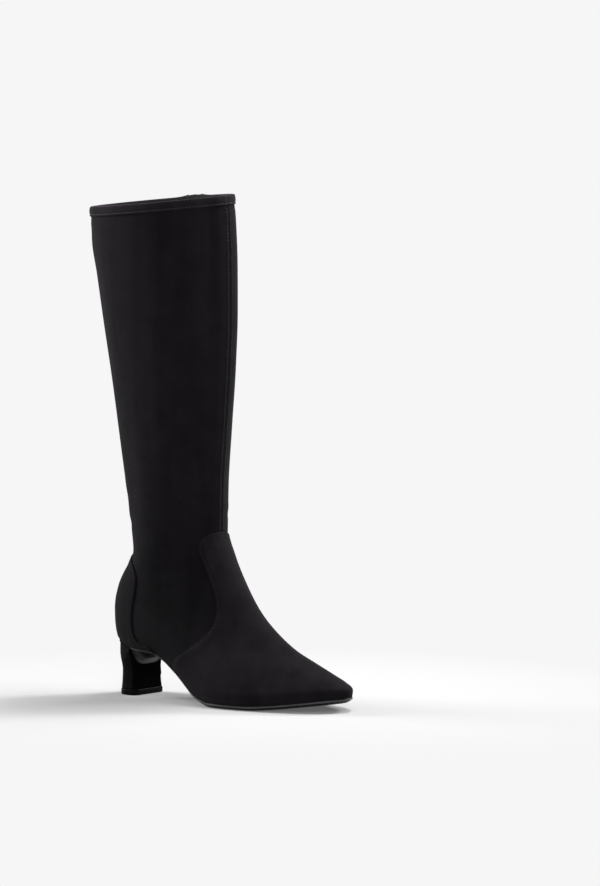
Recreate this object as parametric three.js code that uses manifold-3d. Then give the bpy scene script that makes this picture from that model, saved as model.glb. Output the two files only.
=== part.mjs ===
// Knee-high boot with a pointed toe, a set-back block heel and a zip on the inner side.
// It is a right boot: the toe points along +X, the inner side is +Y, and it stands on Z = 0.
// Millimetres. The solids are worked out round the back of the heel as X = 0 and moved at the end,
// so that the origin lies on the floor under the middle of the whole boot.
import * as THREE from "three";
import { ParametricGeometry } from "three/addons/geometries/ParametricGeometry.js";
import { mergeVertices } from "three/addons/utils/BufferGeometryUtils.js";
import Module from "manifold-3d";

const wasm = await Module();
wasm.setup();

// Main sizes of the foot
const length = 245;
const ball_width = 86;
const heel_height = 52.5;
const instep_height = 147;
const toe_spring = 8;
const toe_swing = 4.5;
const arch_height = 27;

// Main sizes of the shaft
const shaft_height = 430;
const ankle_back = 19.5;
const ankle_front = 111;
const ankle_width = 66;
const collar_back = -27;
const collar_front = 117;
const collar_width = 88;
const shin_bulge = 7;
const calf_bulge = 4;
const side_bulge = 1.8;
const collar_pitch = 7.5;
const collar_roll = 8;
const ankle_pitch = 19;
const seat_back = 2;

// Walls and overlays
const wall = 1.8;
const overlay = 1.1;
const hem_thickness = 0.8;
const hem_depth = 8;
const gap = 0.3;
const trim = 1.5;

// Sole and insole
const sole_thickness = 3.8;
const seat_thickness = 1.6;
const sole_lip = 0.8;
const sole_bevel = 2.4;
const lip_share = 0.42;
const insole_thickness = 2.4;
const insole_clearance = 1.1;

// Heel and top lift
const lift_thickness = 5.2;
const lift_rim = 0.5;
const tip_back = 6.9;
const tip_depth = 23;
const tip_half_width = 19.3;
const breast_hollow = 0.8;
const flap_height = 27;
const flap_rise = 11;
const breast_line = 60;

// Zip
const slot_width = 5.6;
const chain_width = 4.8;
const tape_width = 22;
const tape_thickness = 0.8;
const zip_end_height = 46;
const zip_forward = 14;
const hem_opening = 15.5;
const slider_drop = 7.5;
const slider_width = 8.4;
const slider_foot = 6.4;
const slider_height = 11;
const slider_core = 4.6;
const slider_lift = 0.5;
const slider_plate = 1.5;
const bail_width = 2.2;
const bail_wall = 0.7;
const ring_wire = 1.2;
const ring_clearance = 0.35;
const ring_width = 9.6;
const ring_length = 12;
const tab_width = 3.4;
const tab_length = 15;
const tab_thickness = 1.4;
const stop_width = 2;
const stop_height = 3;
const stop_reach = 6.3;

// Far enough to the sides for any cut
const far = 2 * ball_width;

// How finely the curved pieces are divided
const around = 32;
const rings_per_foot_row = 2;

// Half sizes that the tables below take shares of
const half_ball = ball_width / 2;
const half_ankle = ankle_width / 2;
const half_collar = collar_width / 2;

// The line where the upper meets the sole, seen from the side.
// x is a share of the length. seat, arch and spring are shares of the heel height above the sole,
// of the arch height and of the toe spring.
const feather_rows = [
  { x: 0.0, seat: 1, arch: 0, spring: 0 },
  { x: 0.065, seat: 0.87, arch: 0, spring: 0 },
  { x: 0.13, seat: 0.79, arch: 0, spring: 0 },
  { x: 0.22, seat: 0.77, arch: 0, spring: 0 },
  { x: 0.27, seat: 0.7, arch: 0, spring: 0 },
  { x: 0.34, seat: 0, arch: 0.86, spring: 0 },
  { x: 0.405, seat: 0, arch: 0.47, spring: 0 },
  { x: 0.475, seat: 0, arch: 0.12, spring: 0 },
  { x: 0.545, seat: 0, arch: 0, spring: 0 },
  { x: 0.69, seat: 0, arch: 0, spring: 0 },
  { x: 0.8, seat: 0, arch: 0, spring: 0.26 },
  { x: 0.9, seat: 0, arch: 0, spring: 0.64 },
  { x: 1.0, seat: 0, arch: 0, spring: 1 },
];

// Rings of the foot, from the feather line up to the ankle.
// toe_run and toe_rise say where the ring ends in front, as shares of the way from the toe tip to the
// front of the ankle. heel_run and heel_rise say the same of the way from the heel seat to the back of
// the ankle. heel and ball are half widths as shares of half the ball width. heel_round and toe_point
// shape the ends, waist draws the ring in, and sole_line is how far it follows the feather line.
const foot_rows = [
  { toe_run: 0, toe_rise: 0, heel_run: -0.16, heel_rise: 0, heel: 0.7,
    ball: 1.03, heel_round: 3.2, toe_point: 0.54, waist: 0.16, sole_line: 1 },
  { toe_run: 0, toe_rise: 0.045, heel_run: -0.27, heel_rise: 0.093, heel: 0.73,
    ball: 1.04, heel_round: 3.1, toe_point: 0.54, waist: 0.12, sole_line: 0.94 },
  { toe_run: 0.04, toe_rise: 0.08, heel_run: -0.32, heel_rise: 0.2, heel: 0.74,
    ball: 1.0, heel_round: 3.0, toe_point: 0.56, waist: 0.08, sole_line: 0.86 },
  { toe_run: 0.125, toe_rise: 0.125, heel_run: -0.33, heel_rise: 0.307, heel: 0.74,
    ball: 0.93, heel_round: 2.9, toe_point: 0.6, waist: 0.05, sole_line: 0.74 },
  { toe_run: 0.25, toe_rise: 0.184, heel_run: -0.28, heel_rise: 0.415, heel: 0.735,
    ball: 0.84, heel_round: 2.8, toe_point: 0.62, waist: 0.03, sole_line: 0.58 },
  { toe_run: 0.393, toe_rise: 0.25, heel_run: -0.15, heel_rise: 0.511, heel: 0.74,
    ball: 0.75, heel_round: 2.7, toe_point: 0.62, waist: 0, sole_line: 0.42 },
  { toe_run: 0.549, toe_rise: 0.357, heel_run: 0.04, heel_rise: 0.613, heel: 0.745,
    ball: 0.68, heel_round: 2.6, toe_point: 0.64, waist: 0, sole_line: 0.28 },
  { toe_run: 0.695, toe_rise: 0.487, heel_run: 0.33, heel_rise: 0.716, heel: 0.75,
    ball: 0.65, heel_round: 2.5, toe_point: 0.61, waist: 0, sole_line: 0.16 },
  { toe_run: 0.828, toe_rise: 0.664, heel_run: 0.66, heel_rise: 0.813, heel: 0.755,
    ball: 0.66, heel_round: 2.3, toe_point: 0.57, waist: 0, sole_line: 0.06 },
  { toe_run: 0.938, toe_rise: 0.848, heel_run: 0.915, heel_rise: 0.911, heel: 0.762,
    ball: 0.71, heel_round: 2.1, toe_point: 0.53, waist: 0, sole_line: 0 },
];

// Rings of the shaft, from the ankle to the collar. rise is the share of the way up, and the others
// are shares of the bulges in front, behind and at the sides.
const shaft_rows = [
  { rise: 0, shin: 0, calf: 0, side: 0 },
  { rise: 0.14, shin: 0, calf: -0.27, side: 0 },
  { rise: 0.3, shin: 0.34, calf: -0.25, side: 0.4 },
  { rise: 0.49, shin: 0.76, calf: -0.1, side: 0.9 },
  { rise: 0.655, shin: 0.89, calf: 0.4, side: 1 },
  { rise: 0.8, shin: 0.74, calf: 0.7, side: 0.95 },
  { rise: 0.915, shin: 0.46, calf: 1, side: 0.55 },
  { rise: 1, shin: 0, calf: 0, side: 0 },
];

// A smooth value through the rows of a table, which never overshoots them
function smooth(rows, key, column, at) {
  const last = rows.length - 1;
  const x = rows.map((row) => row[key]);
  const y = rows.map((row) => row[column]);
  const clamped = THREE.MathUtils.clamp(at, x[0], x[last]);
  let i = 0;
  while (i < last - 1 && clamped > x[i + 1]) i += 1;
  const slope = (k) => (y[k + 1] - y[k]) / (x[k + 1] - x[k]);
  const tangent = (k) => {
    if (k === 0) return slope(0);
    if (k === last) return slope(last - 1);
    const before = slope(k - 1);
    const after = slope(k);
    return before * after <= 0 ? 0 : (2 * before * after) / (before + after);
  };
  const width = x[i + 1] - x[i];
  const s = (clamped - x[i]) / width;
  const start = y[i] * (1 + 2 * s) * (1 - s) ** 2 + tangent(i) * width * s * (1 - s) ** 2;
  const end = y[i + 1] * s * s * (3 - 2 * s) - tangent(i + 1) * width * s * s * (1 - s);
  return start + end;
}

// Height of the feather line over the floor at a place along the foot
const ground_line = sole_thickness + gap;
const feather_table = feather_rows.map((row) => ({
  x: row.x * length,
  z: ground_line + row.seat * (heel_height - ground_line) + row.arch * arch_height
    + row.spring * toe_spring,
}));
const feather = (x) => smooth(feather_table, "x", "z", x);

// The last's middle line swings towards the inner side at the toe and a little outwards at the ball
function middle_line(x) {
  const past_ball = Math.max(0, x / length - 0.62) / 0.38;
  const near_ball = Math.exp(-(((x / length - 0.66) / 0.16) ** 2));
  return toe_swing * past_ball ** 2 - 0.3 * toe_swing * near_ball;
}

// All rings of the upper in millimetres
const upper_rows = [
  ...foot_rows.map((row) => ({
    front_x: THREE.MathUtils.lerp(length, ankle_front, row.toe_run),
    front_z: THREE.MathUtils.lerp(feather(length), instep_height, row.toe_rise),
    back_x: THREE.MathUtils.lerp(seat_back, ankle_back, row.heel_run),
    back_z: THREE.MathUtils.lerp(feather(0), instep_height - ankle_pitch, row.heel_rise),
    heel: row.heel * half_ball,
    ball: row.ball * half_ball,
    heel_round: row.heel_round,
    toe_point: row.toe_point,
    waist: row.waist,
    sole_line: row.sole_line,
    roll: 0,
    swing: 1 - row.toe_rise,
  })),
  ...shaft_rows.map((row) => {
    const { lerp } = THREE.MathUtils;
    const half = lerp(half_ankle, half_collar, row.rise) + side_bulge * row.side;
    const pitch = lerp(ankle_pitch, collar_pitch, row.rise) / 2;
    const middle = lerp(instep_height - ankle_pitch / 2, shaft_height, row.rise);
    return {
      front_x: lerp(ankle_front, collar_front, row.rise) + shin_bulge * row.shin,
      front_z: middle + pitch,
      back_x: lerp(ankle_back, collar_back, row.rise) - calf_bulge * row.calf,
      back_z: middle - pitch,
      heel: half,
      ball: half,
      heel_round: 2,
      toe_point: 0.5,
      waist: 0,
      sole_line: 0,
      roll: (collar_roll / 2) * row.rise,
      swing: 0,
    };
  }),
].map((row, index) => ({ ...row, index }));
const last_ring = upper_rows.length - 1;
const ankle_ring = foot_rows.length;

// A point of the upper's outer face. turn goes once round from the back over the inner side,
// and ring counts the rows of the table.
function face_point(turn, ring) {
  const value = (column) => smooth(upper_rows, "index", column, ring);
  const angle = turn * 2 * Math.PI;
  const share = (1 - Math.cos(angle)) / 2;
  const x = THREE.MathUtils.lerp(value("back_x"), value("front_x"), share);
  const reach = Math.abs(1 - 2 * share);
  const round = share < 0.5 ? value("heel_round") : 2;
  const point = share < 0.5 ? 0.5 : value("toe_point");
  const blend = THREE.MathUtils.smoothstep(share, 0.1, 0.62);
  const narrow = 1 - value("waist") * Math.exp(-(((share - 0.36) / 0.13) ** 2));
  const width = THREE.MathUtils.lerp(value("heel"), value("ball"), blend) * narrow;
  const side = Math.sign(Math.sin(angle)) || 0;
  const y = side * width * Math.max(0, 1 - reach ** round) ** point;
  const back_z = value("back_z");
  const front_z = value("front_z");
  const chord = THREE.MathUtils.lerp(feather(0), feather(length), share);
  const sag = (feather(share * length) - chord) * value("sole_line");
  const hem = trim * Math.max(0, 1 - 2 * ring);
  const z = THREE.MathUtils.lerp(back_z, front_z, share) + sag + value("roll") * Math.sin(angle) - hem;
  return new THREE.Vector3(x, y + middle_line(x) * value("swing"), z);
}

// The same point moved out from the face by a distance, or in where that is negative
function upper_point(turn, ring, out) {
  const step_turn = 0.4 / around;
  const low = Math.max(0, ring - 0.2);
  const high = Math.min(last_ring, ring + 0.2);
  const along = face_point(turn + step_turn, ring).sub(face_point(turn - step_turn, ring));
  const up = face_point(turn, high).sub(face_point(turn, low));
  const normal = up.cross(along).normalize();
  return face_point(turn, ring).addScaledVector(normal, out);
}

// Turns a closed geometry into a solid that can be joined and cut
function to_solid(geometry) {
  const plain = geometry.clone();
  plain.deleteAttribute("normal");
  plain.deleteAttribute("uv");
  const merged = mergeVertices(plain, 1e-4);
  const places = merged.getAttribute("position");
  const corner = (i) => new THREE.Vector3().fromBufferAttribute(places, i);
  const triangles = [];
  let volume = 0;
  for (let i = 0; i < merged.index.count; i += 3) {
    const [a, b, c] = [0, 1, 2].map((k) => merged.index.getX(i + k));
    if (a === b || b === c || c === a) continue;
    triangles.push(a, b, c);
    volume += corner(a).dot(corner(b).cross(corner(c)));
  }
  if (volume < 0) triangles.reverse();
  const vertProperties = Float32Array.from(places.array);
  const mesh = new wasm.Mesh({ numProp: 3, vertProperties, triVerts: Uint32Array.from(triangles) });
  return new wasm.Manifold(mesh);
}

// Turns a solid back into a geometry
function to_geometry(solid) {
  const mesh = solid.getMesh();
  const geometry = new THREE.BufferGeometry();
  geometry.setAttribute("position", new THREE.BufferAttribute(mesh.vertProperties, 3));
  geometry.setIndex(new THREE.BufferAttribute(mesh.triVerts, 1));
  return geometry;
}

// The rings at which a wall is divided: more of them on the foot, one for each row on the shaft
function ring_stations(low_ring, high_ring) {
  const stations = [low_ring];
  for (let ring = 0; ring < high_ring; ring += ring < ankle_ring ? 1 / rings_per_foot_row : 1) {
    if (ring > low_ring) stations.push(ring);
  }
  return [...stations, high_ring];
}

// A wall that follows the upper between two distances from its face and between two rings
function shell(inner, outer, low_ring, high_ring) {
  const stations = ring_stations(low_ring, high_ring);
  const rings = stations.length - 1;
  const rows = 2 * rings + 2;
  const geometry = new ParametricGeometry(
    (u, v, target) => {
      const row = Math.round(v * rows) % rows;
      const outside = row <= rings;
      const ring = stations[outside ? row : 2 * rings + 1 - row];
      const turn = (Math.round(u * around) % around) / around;
      target.copy(upper_point(turn, ring, outside ? outer : inner));
    },
    around,
    rows,
  );
  // The inner face is divided along the same diagonals as the outer one, so that gaps stay even
  const index = geometry.getIndex();
  for (let quad = around * (rings + 1); quad < around * (rows - 1); quad += 1) {
    index.setX(6 * quad + 2, index.getX(6 * quad + 4));
    index.setX(6 * quad + 3, index.getX(6 * quad));
  }
  return to_solid(geometry);
}

// A prism across the boot with an outline drawn in the side view, between two Y values
function side_prism(outline, from_y, to_y) {
  const depth = to_y - from_y;
  const settings = { depth, steps: 1, bevelEnabled: false, curveSegments: 5 };
  const geometry = new THREE.ExtrudeGeometry(outline, settings);
  geometry.rotateX(Math.PI / 2);
  geometry.translate(0, to_y, 0);
  return to_solid(geometry);
}

// Everything over the feather line, or over a line that runs lower by a depth
function over_feather(depth) {
  const run_out = length / 8;
  const steps = 48;
  const shape = new THREE.Shape();
  shape.moveTo(-run_out, 2 * shaft_height);
  for (let i = 0; i <= steps; i += 1) {
    const x = THREE.MathUtils.lerp(-run_out, length + run_out, i / steps);
    shape.lineTo(x, feather(x) - depth);
  }
  shape.lineTo(length + run_out, 2 * shaft_height);
  return side_prism(shape, -far, far);
}

// A closed outline through corners, with one smooth stretch between the first and the last of them
function outline_with_curve(curve_points, corners) {
  const shape = new THREE.Shape();
  shape.moveTo(...curve_points[0]);
  shape.splineThru(curve_points.slice(1).map(([x, z]) => new THREE.Vector2(x, z)));
  corners.forEach(([x, z]) => shape.lineTo(x, z));
  shape.closePath();
  return shape;
}

const foot_share = ([x, z]) => [x * length, z * instep_height];

// The line of the zip in the side view, from its lower end up to past the collar
const ankle_middle = (ankle_back + ankle_front) / 2;
const collar_middle = (collar_back + collar_front) / 2;
const zip_line = new THREE.CatmullRomCurve3([
  new THREE.Vector3(ankle_middle + 2.1 * zip_forward, 0, zip_end_height),
  new THREE.Vector3(ankle_middle + 1.85 * zip_forward, 0, 0.52 * instep_height),
  new THREE.Vector3(ankle_middle + 1.6 * zip_forward, 0, 0.72 * instep_height),
  new THREE.Vector3(ankle_middle + zip_forward, 0, 1.03 * instep_height),
  new THREE.Vector3(THREE.MathUtils.lerp(ankle_middle, collar_middle, 0.5) + zip_forward / 2, 0,
    (instep_height + shaft_height) / 2),
  new THREE.Vector3(collar_middle, 0, shaft_height + 2 * collar_roll),
]);

// An outline that follows the zip line with a width
function zip_strip(width, from, to) {
  const steps = 18;
  const left = [];
  const right = [];
  for (let i = 0; i <= steps; i += 1) {
    const at = THREE.MathUtils.lerp(from, to, i / steps);
    const place = zip_line.getPointAt(at);
    const way = zip_line.getTangentAt(at);
    left.push(new THREE.Vector2(place.x - (way.z * width) / 2, place.z + (way.x * width) / 2));
    right.unshift(new THREE.Vector2(place.x + (way.z * width) / 2, place.z - (way.x * width) / 2));
  }
  return new THREE.Shape([...left, ...right]);
}
const zip_cut = (width, from, to) => side_prism(zip_strip(width, from, to), half_ankle / 4, far);

// Finishes that the pieces share
function finish(color, roughness, metalness) {
  return new THREE.MeshStandardMaterial({ color, roughness, metalness });
}

const group = new THREE.Group();
function add(name, solid, material) {
  const mesh = new THREE.Mesh(to_geometry(solid), material);
  mesh.name = name;
  group.add(mesh);
  return mesh;
}

// Upper: one hollow wall from the feather line to the collar, slit for the zip
function make_upper() {
  return shell(-wall, 0, 0, last_ring).subtract(zip_cut(slot_width, 0, 1)).intersect(over_feather(0));
}

// Vamp: overlay over the toe and the instep, with a rounded top at the front of the ankle
function make_vamp() {
  const edge = [
    [0.31, 0.05], [0.35, 0.235], [0.4, 0.3], [0.46, 0.37], [0.495, 0.44], [0.506, 0.52],
    [0.492, 0.62], [0.463, 0.73], [0.436, 0.82], [0.417, 0.9], [0.424, 0.955], [0.452, 0.99], [0.5, 1.005],
  ].map(foot_share);
  const outline = outline_with_curve(edge, [[2 * length, instep_height], [2 * length, -heel_height]]);
  return shell(gap, gap + overlay, 0, ankle_ring + 1).intersect(side_prism(outline, -far, far))
    .intersect(over_feather(0));
}

// Counter: overlay round the heel up to the back of the ankle
function make_counter() {
  const edge = [
    [0.04, 0.868], [0.09, 0.83], [0.135, 0.775], [0.157, 0.71], [0.152, 0.62], [0.137, 0.53],
    [0.132, 0.45], [0.142, 0.37], [0.17, 0.325], [0.225, 0.3], [0.25, 0.24],
  ].map(foot_share);
  const corners = [[0.25 * length, 0], [-length, 0], [-length, 0.868 * instep_height]];
  const outline = outline_with_curve(edge, corners);
  return shell(gap, gap + overlay, 0, ankle_ring + 1).intersect(side_prism(outline, -far, far))
    .intersect(over_feather(0));
}

// Collar band: the folded hem, open at the zip
function make_collar_band() {
  const ring_height = (shaft_height - instep_height) * (shaft_rows.at(-1).rise - shaft_rows.at(-2).rise);
  const low_ring = last_ring - hem_depth / ring_height;
  return shell(gap, gap + hem_thickness, low_ring, last_ring).subtract(zip_cut(hem_opening, 0, 1));
}

// A point of the sole's outline, moved out from the upper's foot by a distance
function sole_edge(turn, out) {
  const edge = face_point(turn, 0);
  const next = face_point(turn + 0.4 / around, 0);
  const before = face_point(turn - 0.4 / around, 0);
  const away = new THREE.Vector3(before.y - next.y, next.x - before.x, 0).normalize();
  return edge.addScaledVector(away, out);
}

// A form that fills the outline of the sole between two lines of the side view. Each row gives its
// share of the way from the middle to the edge, and, for a place along the foot, how far the edge lies
// out from the upper's foot and its depth under the feather line.
function sole_form(rows) {
  const count = rows.length - 1;
  const geometry = new ParametricGeometry(
    (u, v, target) => {
      const row = rows[Math.round(v * count)];
      const step = Math.round(u * around) % around;
      const out = row.out(face_point(step / around, 0).x);
      const edge = sole_edge(step / around, out);
      const mate = sole_edge((around - step) / around, out);
      const middle = edge.clone().add(mate).multiplyScalar(0.5);
      const place = step * 2 === around || step === 0 ? edge : middle.lerp(edge, row.spread);
      target.set(place.x, place.y, feather(place.x) - row.depth(place.x));
    },
    around,
    count,
  );
  return to_solid(geometry);
}

// The sole is thin and flush with the upper at the seat, and full from the ball forward
const full_sole = (x) => THREE.MathUtils.smoothstep(x, breast_line, 0.5 * length);
const sole_depth = (x) => THREE.MathUtils.lerp(seat_thickness, sole_thickness, full_sole(x));
const seat_edge = gap + overlay;

// Outsole: lip, side and bevel round a thin sole that runs from the toe to the heel seat.
// What fits under it is cut with the same form, lowered.
function make_outsole(lowered = 0) {
  const row = (spread, out, drawn_in, share, raised = 0) => ({
    spread,
    out: (x) => seat_edge - out + (sole_lip - drawn_in) * full_sole(x),
    depth: (x) => gap + lowered - raised + share * sole_depth(x),
  });
  return sole_form([
    row(0, 0.3, 0, 0, trim),
    row(1, 0.3, 0, 0, trim),
    row(1, 0.3, 0, 0),
    row(1, 0, 0, 0.12),
    row(1, 0, 0, lip_share),
    row(1, 0, 0.8, lip_share + 0.08),
    row(1, 0.2, 0.8 + sole_bevel, 0.92),
    row(1, 0.4, 1.6 + sole_bevel, 1),
    row(0.5, 0.4, 1.6 + sole_bevel, 1),
    row(0, 0.4, 1.6 + sole_bevel, 1),
  ]).subtract(over_feather(gap));
}

// Insole: lies on the sole, inside the wall
function make_insole() {
  const row = (spread, drawn_in, depth) => ({
    spread,
    out: () => -wall - insole_clearance - drawn_in,
    depth: () => depth,
  });
  return sole_form([
    row(0, 0, trim),
    row(1, 0, trim),
    row(1, 0.6, -insole_thickness),
    row(0.5, 0.6, -insole_thickness),
    row(0, 0.6, -insole_thickness),
  ]).intersect(over_feather(0));
}

// A ring of the heel: round behind, nearly square at the breast
function heel_point(angle, back, front, half) {
  const split = THREE.MathUtils.lerp(back, front, 0.55);
  const toward = Math.cos(angle);
  const power = toward < 0 ? 2.3 : 7;
  const reach = toward < 0 ? split - back : front - split;
  const x = split + Math.sign(toward) * Math.abs(toward) ** (2 / power) * reach;
  const y = Math.sign(Math.sin(angle)) * Math.abs(Math.sin(angle)) ** (2 / power) * half;
  return [x, y];
}

// A stack of heel rings closed at both ends
function heel_form(rows, segments) {
  const count = rows.length + 1;
  const geometry = new ParametricGeometry(
    (u, v, target) => {
      const step = Math.round(v * count);
      const row = rows[THREE.MathUtils.clamp(step - 1, 0, rows.length - 1)];
      const angle = ((Math.round(u * segments) % segments) / segments + 0.5 / segments) * 2 * Math.PI;
      const [x, y] = heel_point(angle, row.back, row.front, row.half);
      const inside = step === 0 || step === count;
      target.set(inside ? (row.back + row.front) / 2 : x, inside ? 0 : y, row.z);
    },
    segments,
    count,
  );
  return to_solid(geometry);
}

const tip_front = tip_back + tip_depth;

// Heel: from the top lift to the seat, hollowed at the back, the sides and the breast.
// The sole's flap runs down over the top of the breast in a round tongue.
function make_heel() {
  const seat_half = foot_rows[0].heel * half_ball + gap + overlay;
  const low = lift_thickness + gap;
  const rows = [
    { share: 0, half: 0, back: 0 },
    { share: 0.12, half: -0.03, back: 0.12 },
    { share: 0.35, half: -0.03, back: 0.2 },
    { share: 0.6, half: 0.16, back: 0.06 },
    { share: 0.78, half: 0.5, back: 0.05 },
    { share: 0.92, half: 0.95, back: -0.4 },
    { share: 1.3, half: 1.3, back: -1.5 },
  ].map((row) => ({
    z: THREE.MathUtils.lerp(low, heel_height, row.share),
    half: THREE.MathUtils.lerp(tip_half_width, seat_half, row.half),
    back: tip_back + row.back * tip_back,
    front: breast_line,
  }));
  const under_seat = 2 * gap + seat_thickness;
  const seat_row = (spread, depth) => ({ spread, out: () => seat_edge - 0.3, depth: () => depth });
  const seat_rows = [[0, -gap], [1, -gap], [1, 2 * heel_height], [0, 2 * heel_height]];
  const seat = sole_form(seat_rows.map(([spread, depth]) => seat_row(spread, depth)));
  const block = heel_form(rows, 28).intersect(seat).subtract(over_feather(under_seat - gap))
    .subtract(make_outsole(gap));
  const breast = new THREE.Shape();
  const flap_end = feather(breast_line) - under_seat - 1;
  breast.moveTo(tip_front, -1);
  breast.lineTo(tip_front, low);
  breast.quadraticCurveTo(tip_front - 2 * breast_hollow, 0.5 * flap_height,
    tip_front - breast_hollow, flap_height);
  breast.quadraticCurveTo(tip_front + 1, flap_end - 2, breast_line + 1, flap_end);
  breast.lineTo(2 * breast_line, flap_end);
  breast.lineTo(2 * breast_line, -1);
  const depth = 2 * seat_half + 10;
  const settings = { depth, steps: 12, bevelEnabled: false, curveSegments: 6 };
  const cutter = new THREE.ExtrudeGeometry(breast, settings);
  cutter.rotateX(Math.PI / 2);
  cutter.translate(0, depth / 2, 0);
  const place = cutter.getAttribute("position");
  for (let i = 0; i < place.count; i += 1) {
    const across = place.getY(i) / tip_half_width;
    const near_breast = 1 - THREE.MathUtils.smoothstep(place.getX(i), tip_front, breast_line);
    const lifted = place.getZ(i) > 0.6 * flap_height ? flap_rise * across * across * near_breast : 0;
    place.setZ(i, Math.min(place.getZ(i) + lifted, feather(place.getX(i)) - under_seat - 1));
  }
  return block.subtract(to_solid(cutter));
}

// Top lift: the wearing piece, a little larger than the heel above it
function make_top_lift() {
  const full = { back: tip_back - lift_rim, front: tip_front + lift_rim, half: tip_half_width + lift_rim };
  return heel_form([{ ...full, z: 0 }, { ...full, z: lift_thickness - 0.5 },
    { back: tip_back, front: tip_front, half: tip_half_width, z: lift_thickness }], 28);
}

// Where the inner side of the shaft lies at a place of the side view
function inner_side_place(x, z) {
  let low = ankle_ring;
  let high = last_ring;
  const turn_at = (ring) => {
    const back = face_point(0, ring).x;
    const share = (x - back) / (face_point(0.5, ring).x - back);
    return Math.acos(1 - 2 * share) / (2 * Math.PI);
  };
  for (let i = 0; i < 40; i += 1) {
    const ring = (low + high) / 2;
    if (face_point(turn_at(ring), ring).z < z) low = ring;
    else high = ring;
  }
  return { turn: turn_at(low), ring: low };
}

// Zip tape: lies behind the slit, on the inside of the wall
function make_zip_tape() {
  const outer = -wall - gap;
  return shell(outer - tape_thickness, outer, 1, last_ring - 0.02).intersect(zip_cut(tape_width, 0, 1))
    .intersect(over_feather(-2 * insole_thickness));
}

// The zip's own axes at the slider: across, up along the zip, and out from the leg
const rim_at_zip = face_point(0.25, last_ring).z;
let zip_top = 1;
for (let pass = 0; pass < 6; pass += 1) {
  zip_top += (rim_at_zip - slider_drop - zip_line.getPointAt(zip_top).z) / zip_line.getLength();
}
const slider_line = zip_line.getPointAt(zip_top);
const slider_spot = inner_side_place(slider_line.x, slider_line.z);
const slider_place = face_point(slider_spot.turn, slider_spot.ring);
const zip_out = upper_point(slider_spot.turn, slider_spot.ring, 1).sub(slider_place).normalize();
const zip_across = zip_line.getTangentAt(zip_top).cross(zip_out).normalize();
const zip_up = zip_out.clone().cross(zip_across);
const zip_axes = new THREE.Matrix4().makeBasis(zip_across, zip_up, zip_out).setPosition(slider_place);
const on_zip = (geometry) => to_solid(geometry.applyMatrix4(zip_axes));
const along_zip = (distance) => zip_top + distance / zip_line.getLength();

// A plate drawn in the zip's own axes, across and up, between two distances from the leg
function zip_plate(shape, from, to) {
  const settings = { depth: to - from, bevelEnabled: false, curveSegments: 4 };
  const geometry = new THREE.ExtrudeGeometry(shape, settings);
  return geometry.translate(0, 0, from);
}

// A plate that stands on edge along the zip, drawn up and out, and as wide as given
function zip_rib(shape, width) {
  const settings = { depth: width, bevelEnabled: false, curveSegments: 6 };
  const geometry = new THREE.ExtrudeGeometry(shape, settings);
  geometry.translate(0, 0, -width / 2);
  return geometry.applyMatrix4(new THREE.Matrix4().makeBasis(
    new THREE.Vector3(0, 1, 0), new THREE.Vector3(0, 0, 1), new THREE.Vector3(1, 0, 0)));
}

// A rectangle with round corners, by its lowest corner and its size
function round_box(shape, x, y, width, height, radius) {
  shape.moveTo(x + radius, y);
  shape.lineTo(x + width - radius, y);
  shape.absarc(x + width - radius, y + radius, radius, -Math.PI / 2, 0, false);
  shape.lineTo(x + width, y + height - radius);
  shape.absarc(x + width - radius, y + height - radius, radius, 0, Math.PI / 2, false);
  shape.lineTo(x + radius, y + height);
  shape.absarc(x + radius, y + height - radius, radius, Math.PI / 2, Math.PI, false);
  shape.lineTo(x, y + radius);
  shape.absarc(x + radius, y + radius, radius, Math.PI, 1.5 * Math.PI, false);
  return shape;
}

// Zip chain: the closed coil in the slit, from the bottom stop to the slider
const chain_end = along_zip(-slider_height / 2 - gap);
const stop_end = stop_height / zip_line.getLength();
function make_zip_chain() {
  const start = (stop_height + 3 * gap) / zip_line.getLength();
  return shell(-wall, -0.1, 1, last_ring).intersect(zip_cut(chain_width, start, chain_end));
}

// Bottom stop: a clip round the lowest coils
function make_bottom_stop() {
  const start = gap / zip_line.getLength();
  return shell(-wall, gap, 1, ankle_ring).intersect(zip_cut(chain_width, start, start + stop_end));
}

// Slider: a core in the slit, a shield-shaped plate over it and a bail on the plate
const axle_height = slider_lift + slider_plate + ring_wire * 0.71 + ring_clearance;
const bail_hole = ring_wire * 0.71 + ring_clearance;
function make_slider() {
  const half = slider_height / 2;
  const shield = new THREE.Shape();
  shield.moveTo(-slider_foot / 2, -half);
  shield.lineTo(slider_foot / 2, -half);
  shield.quadraticCurveTo(slider_foot / 2, 0, slider_width / 2, half * 0.5);
  shield.quadraticCurveTo(slider_width / 2, half, 0, half);
  shield.quadraticCurveTo(-slider_width / 2, half, -slider_width / 2, half * 0.5);
  shield.quadraticCurveTo(-slider_foot / 2, 0, -slider_foot / 2, -half);
  const core_height = slider_height - 0.4;
  const core = round_box(new THREE.Shape(), -slider_core / 2, 0.2 - half, slider_core, core_height, 1);
  const bail = new THREE.Shape();
  const reach = bail_hole + bail_wall;
  bail.moveTo(-reach, slider_lift + slider_plate / 2);
  bail.lineTo(reach, slider_lift + slider_plate / 2);
  bail.lineTo(reach, axle_height);
  bail.absarc(0, axle_height, reach, 0, Math.PI, false);
  bail.holes.push(new THREE.Path().absarc(0, axle_height, bail_hole, 0, 2 * Math.PI, false));
  return on_zip(zip_plate(shield, slider_lift, slider_lift + slider_plate))
    .add(on_zip(zip_plate(core, -wall + gap, slider_lift + slider_plate / 2)))
    .add(on_zip(zip_rib(bail, bail_width)));
}

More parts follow.
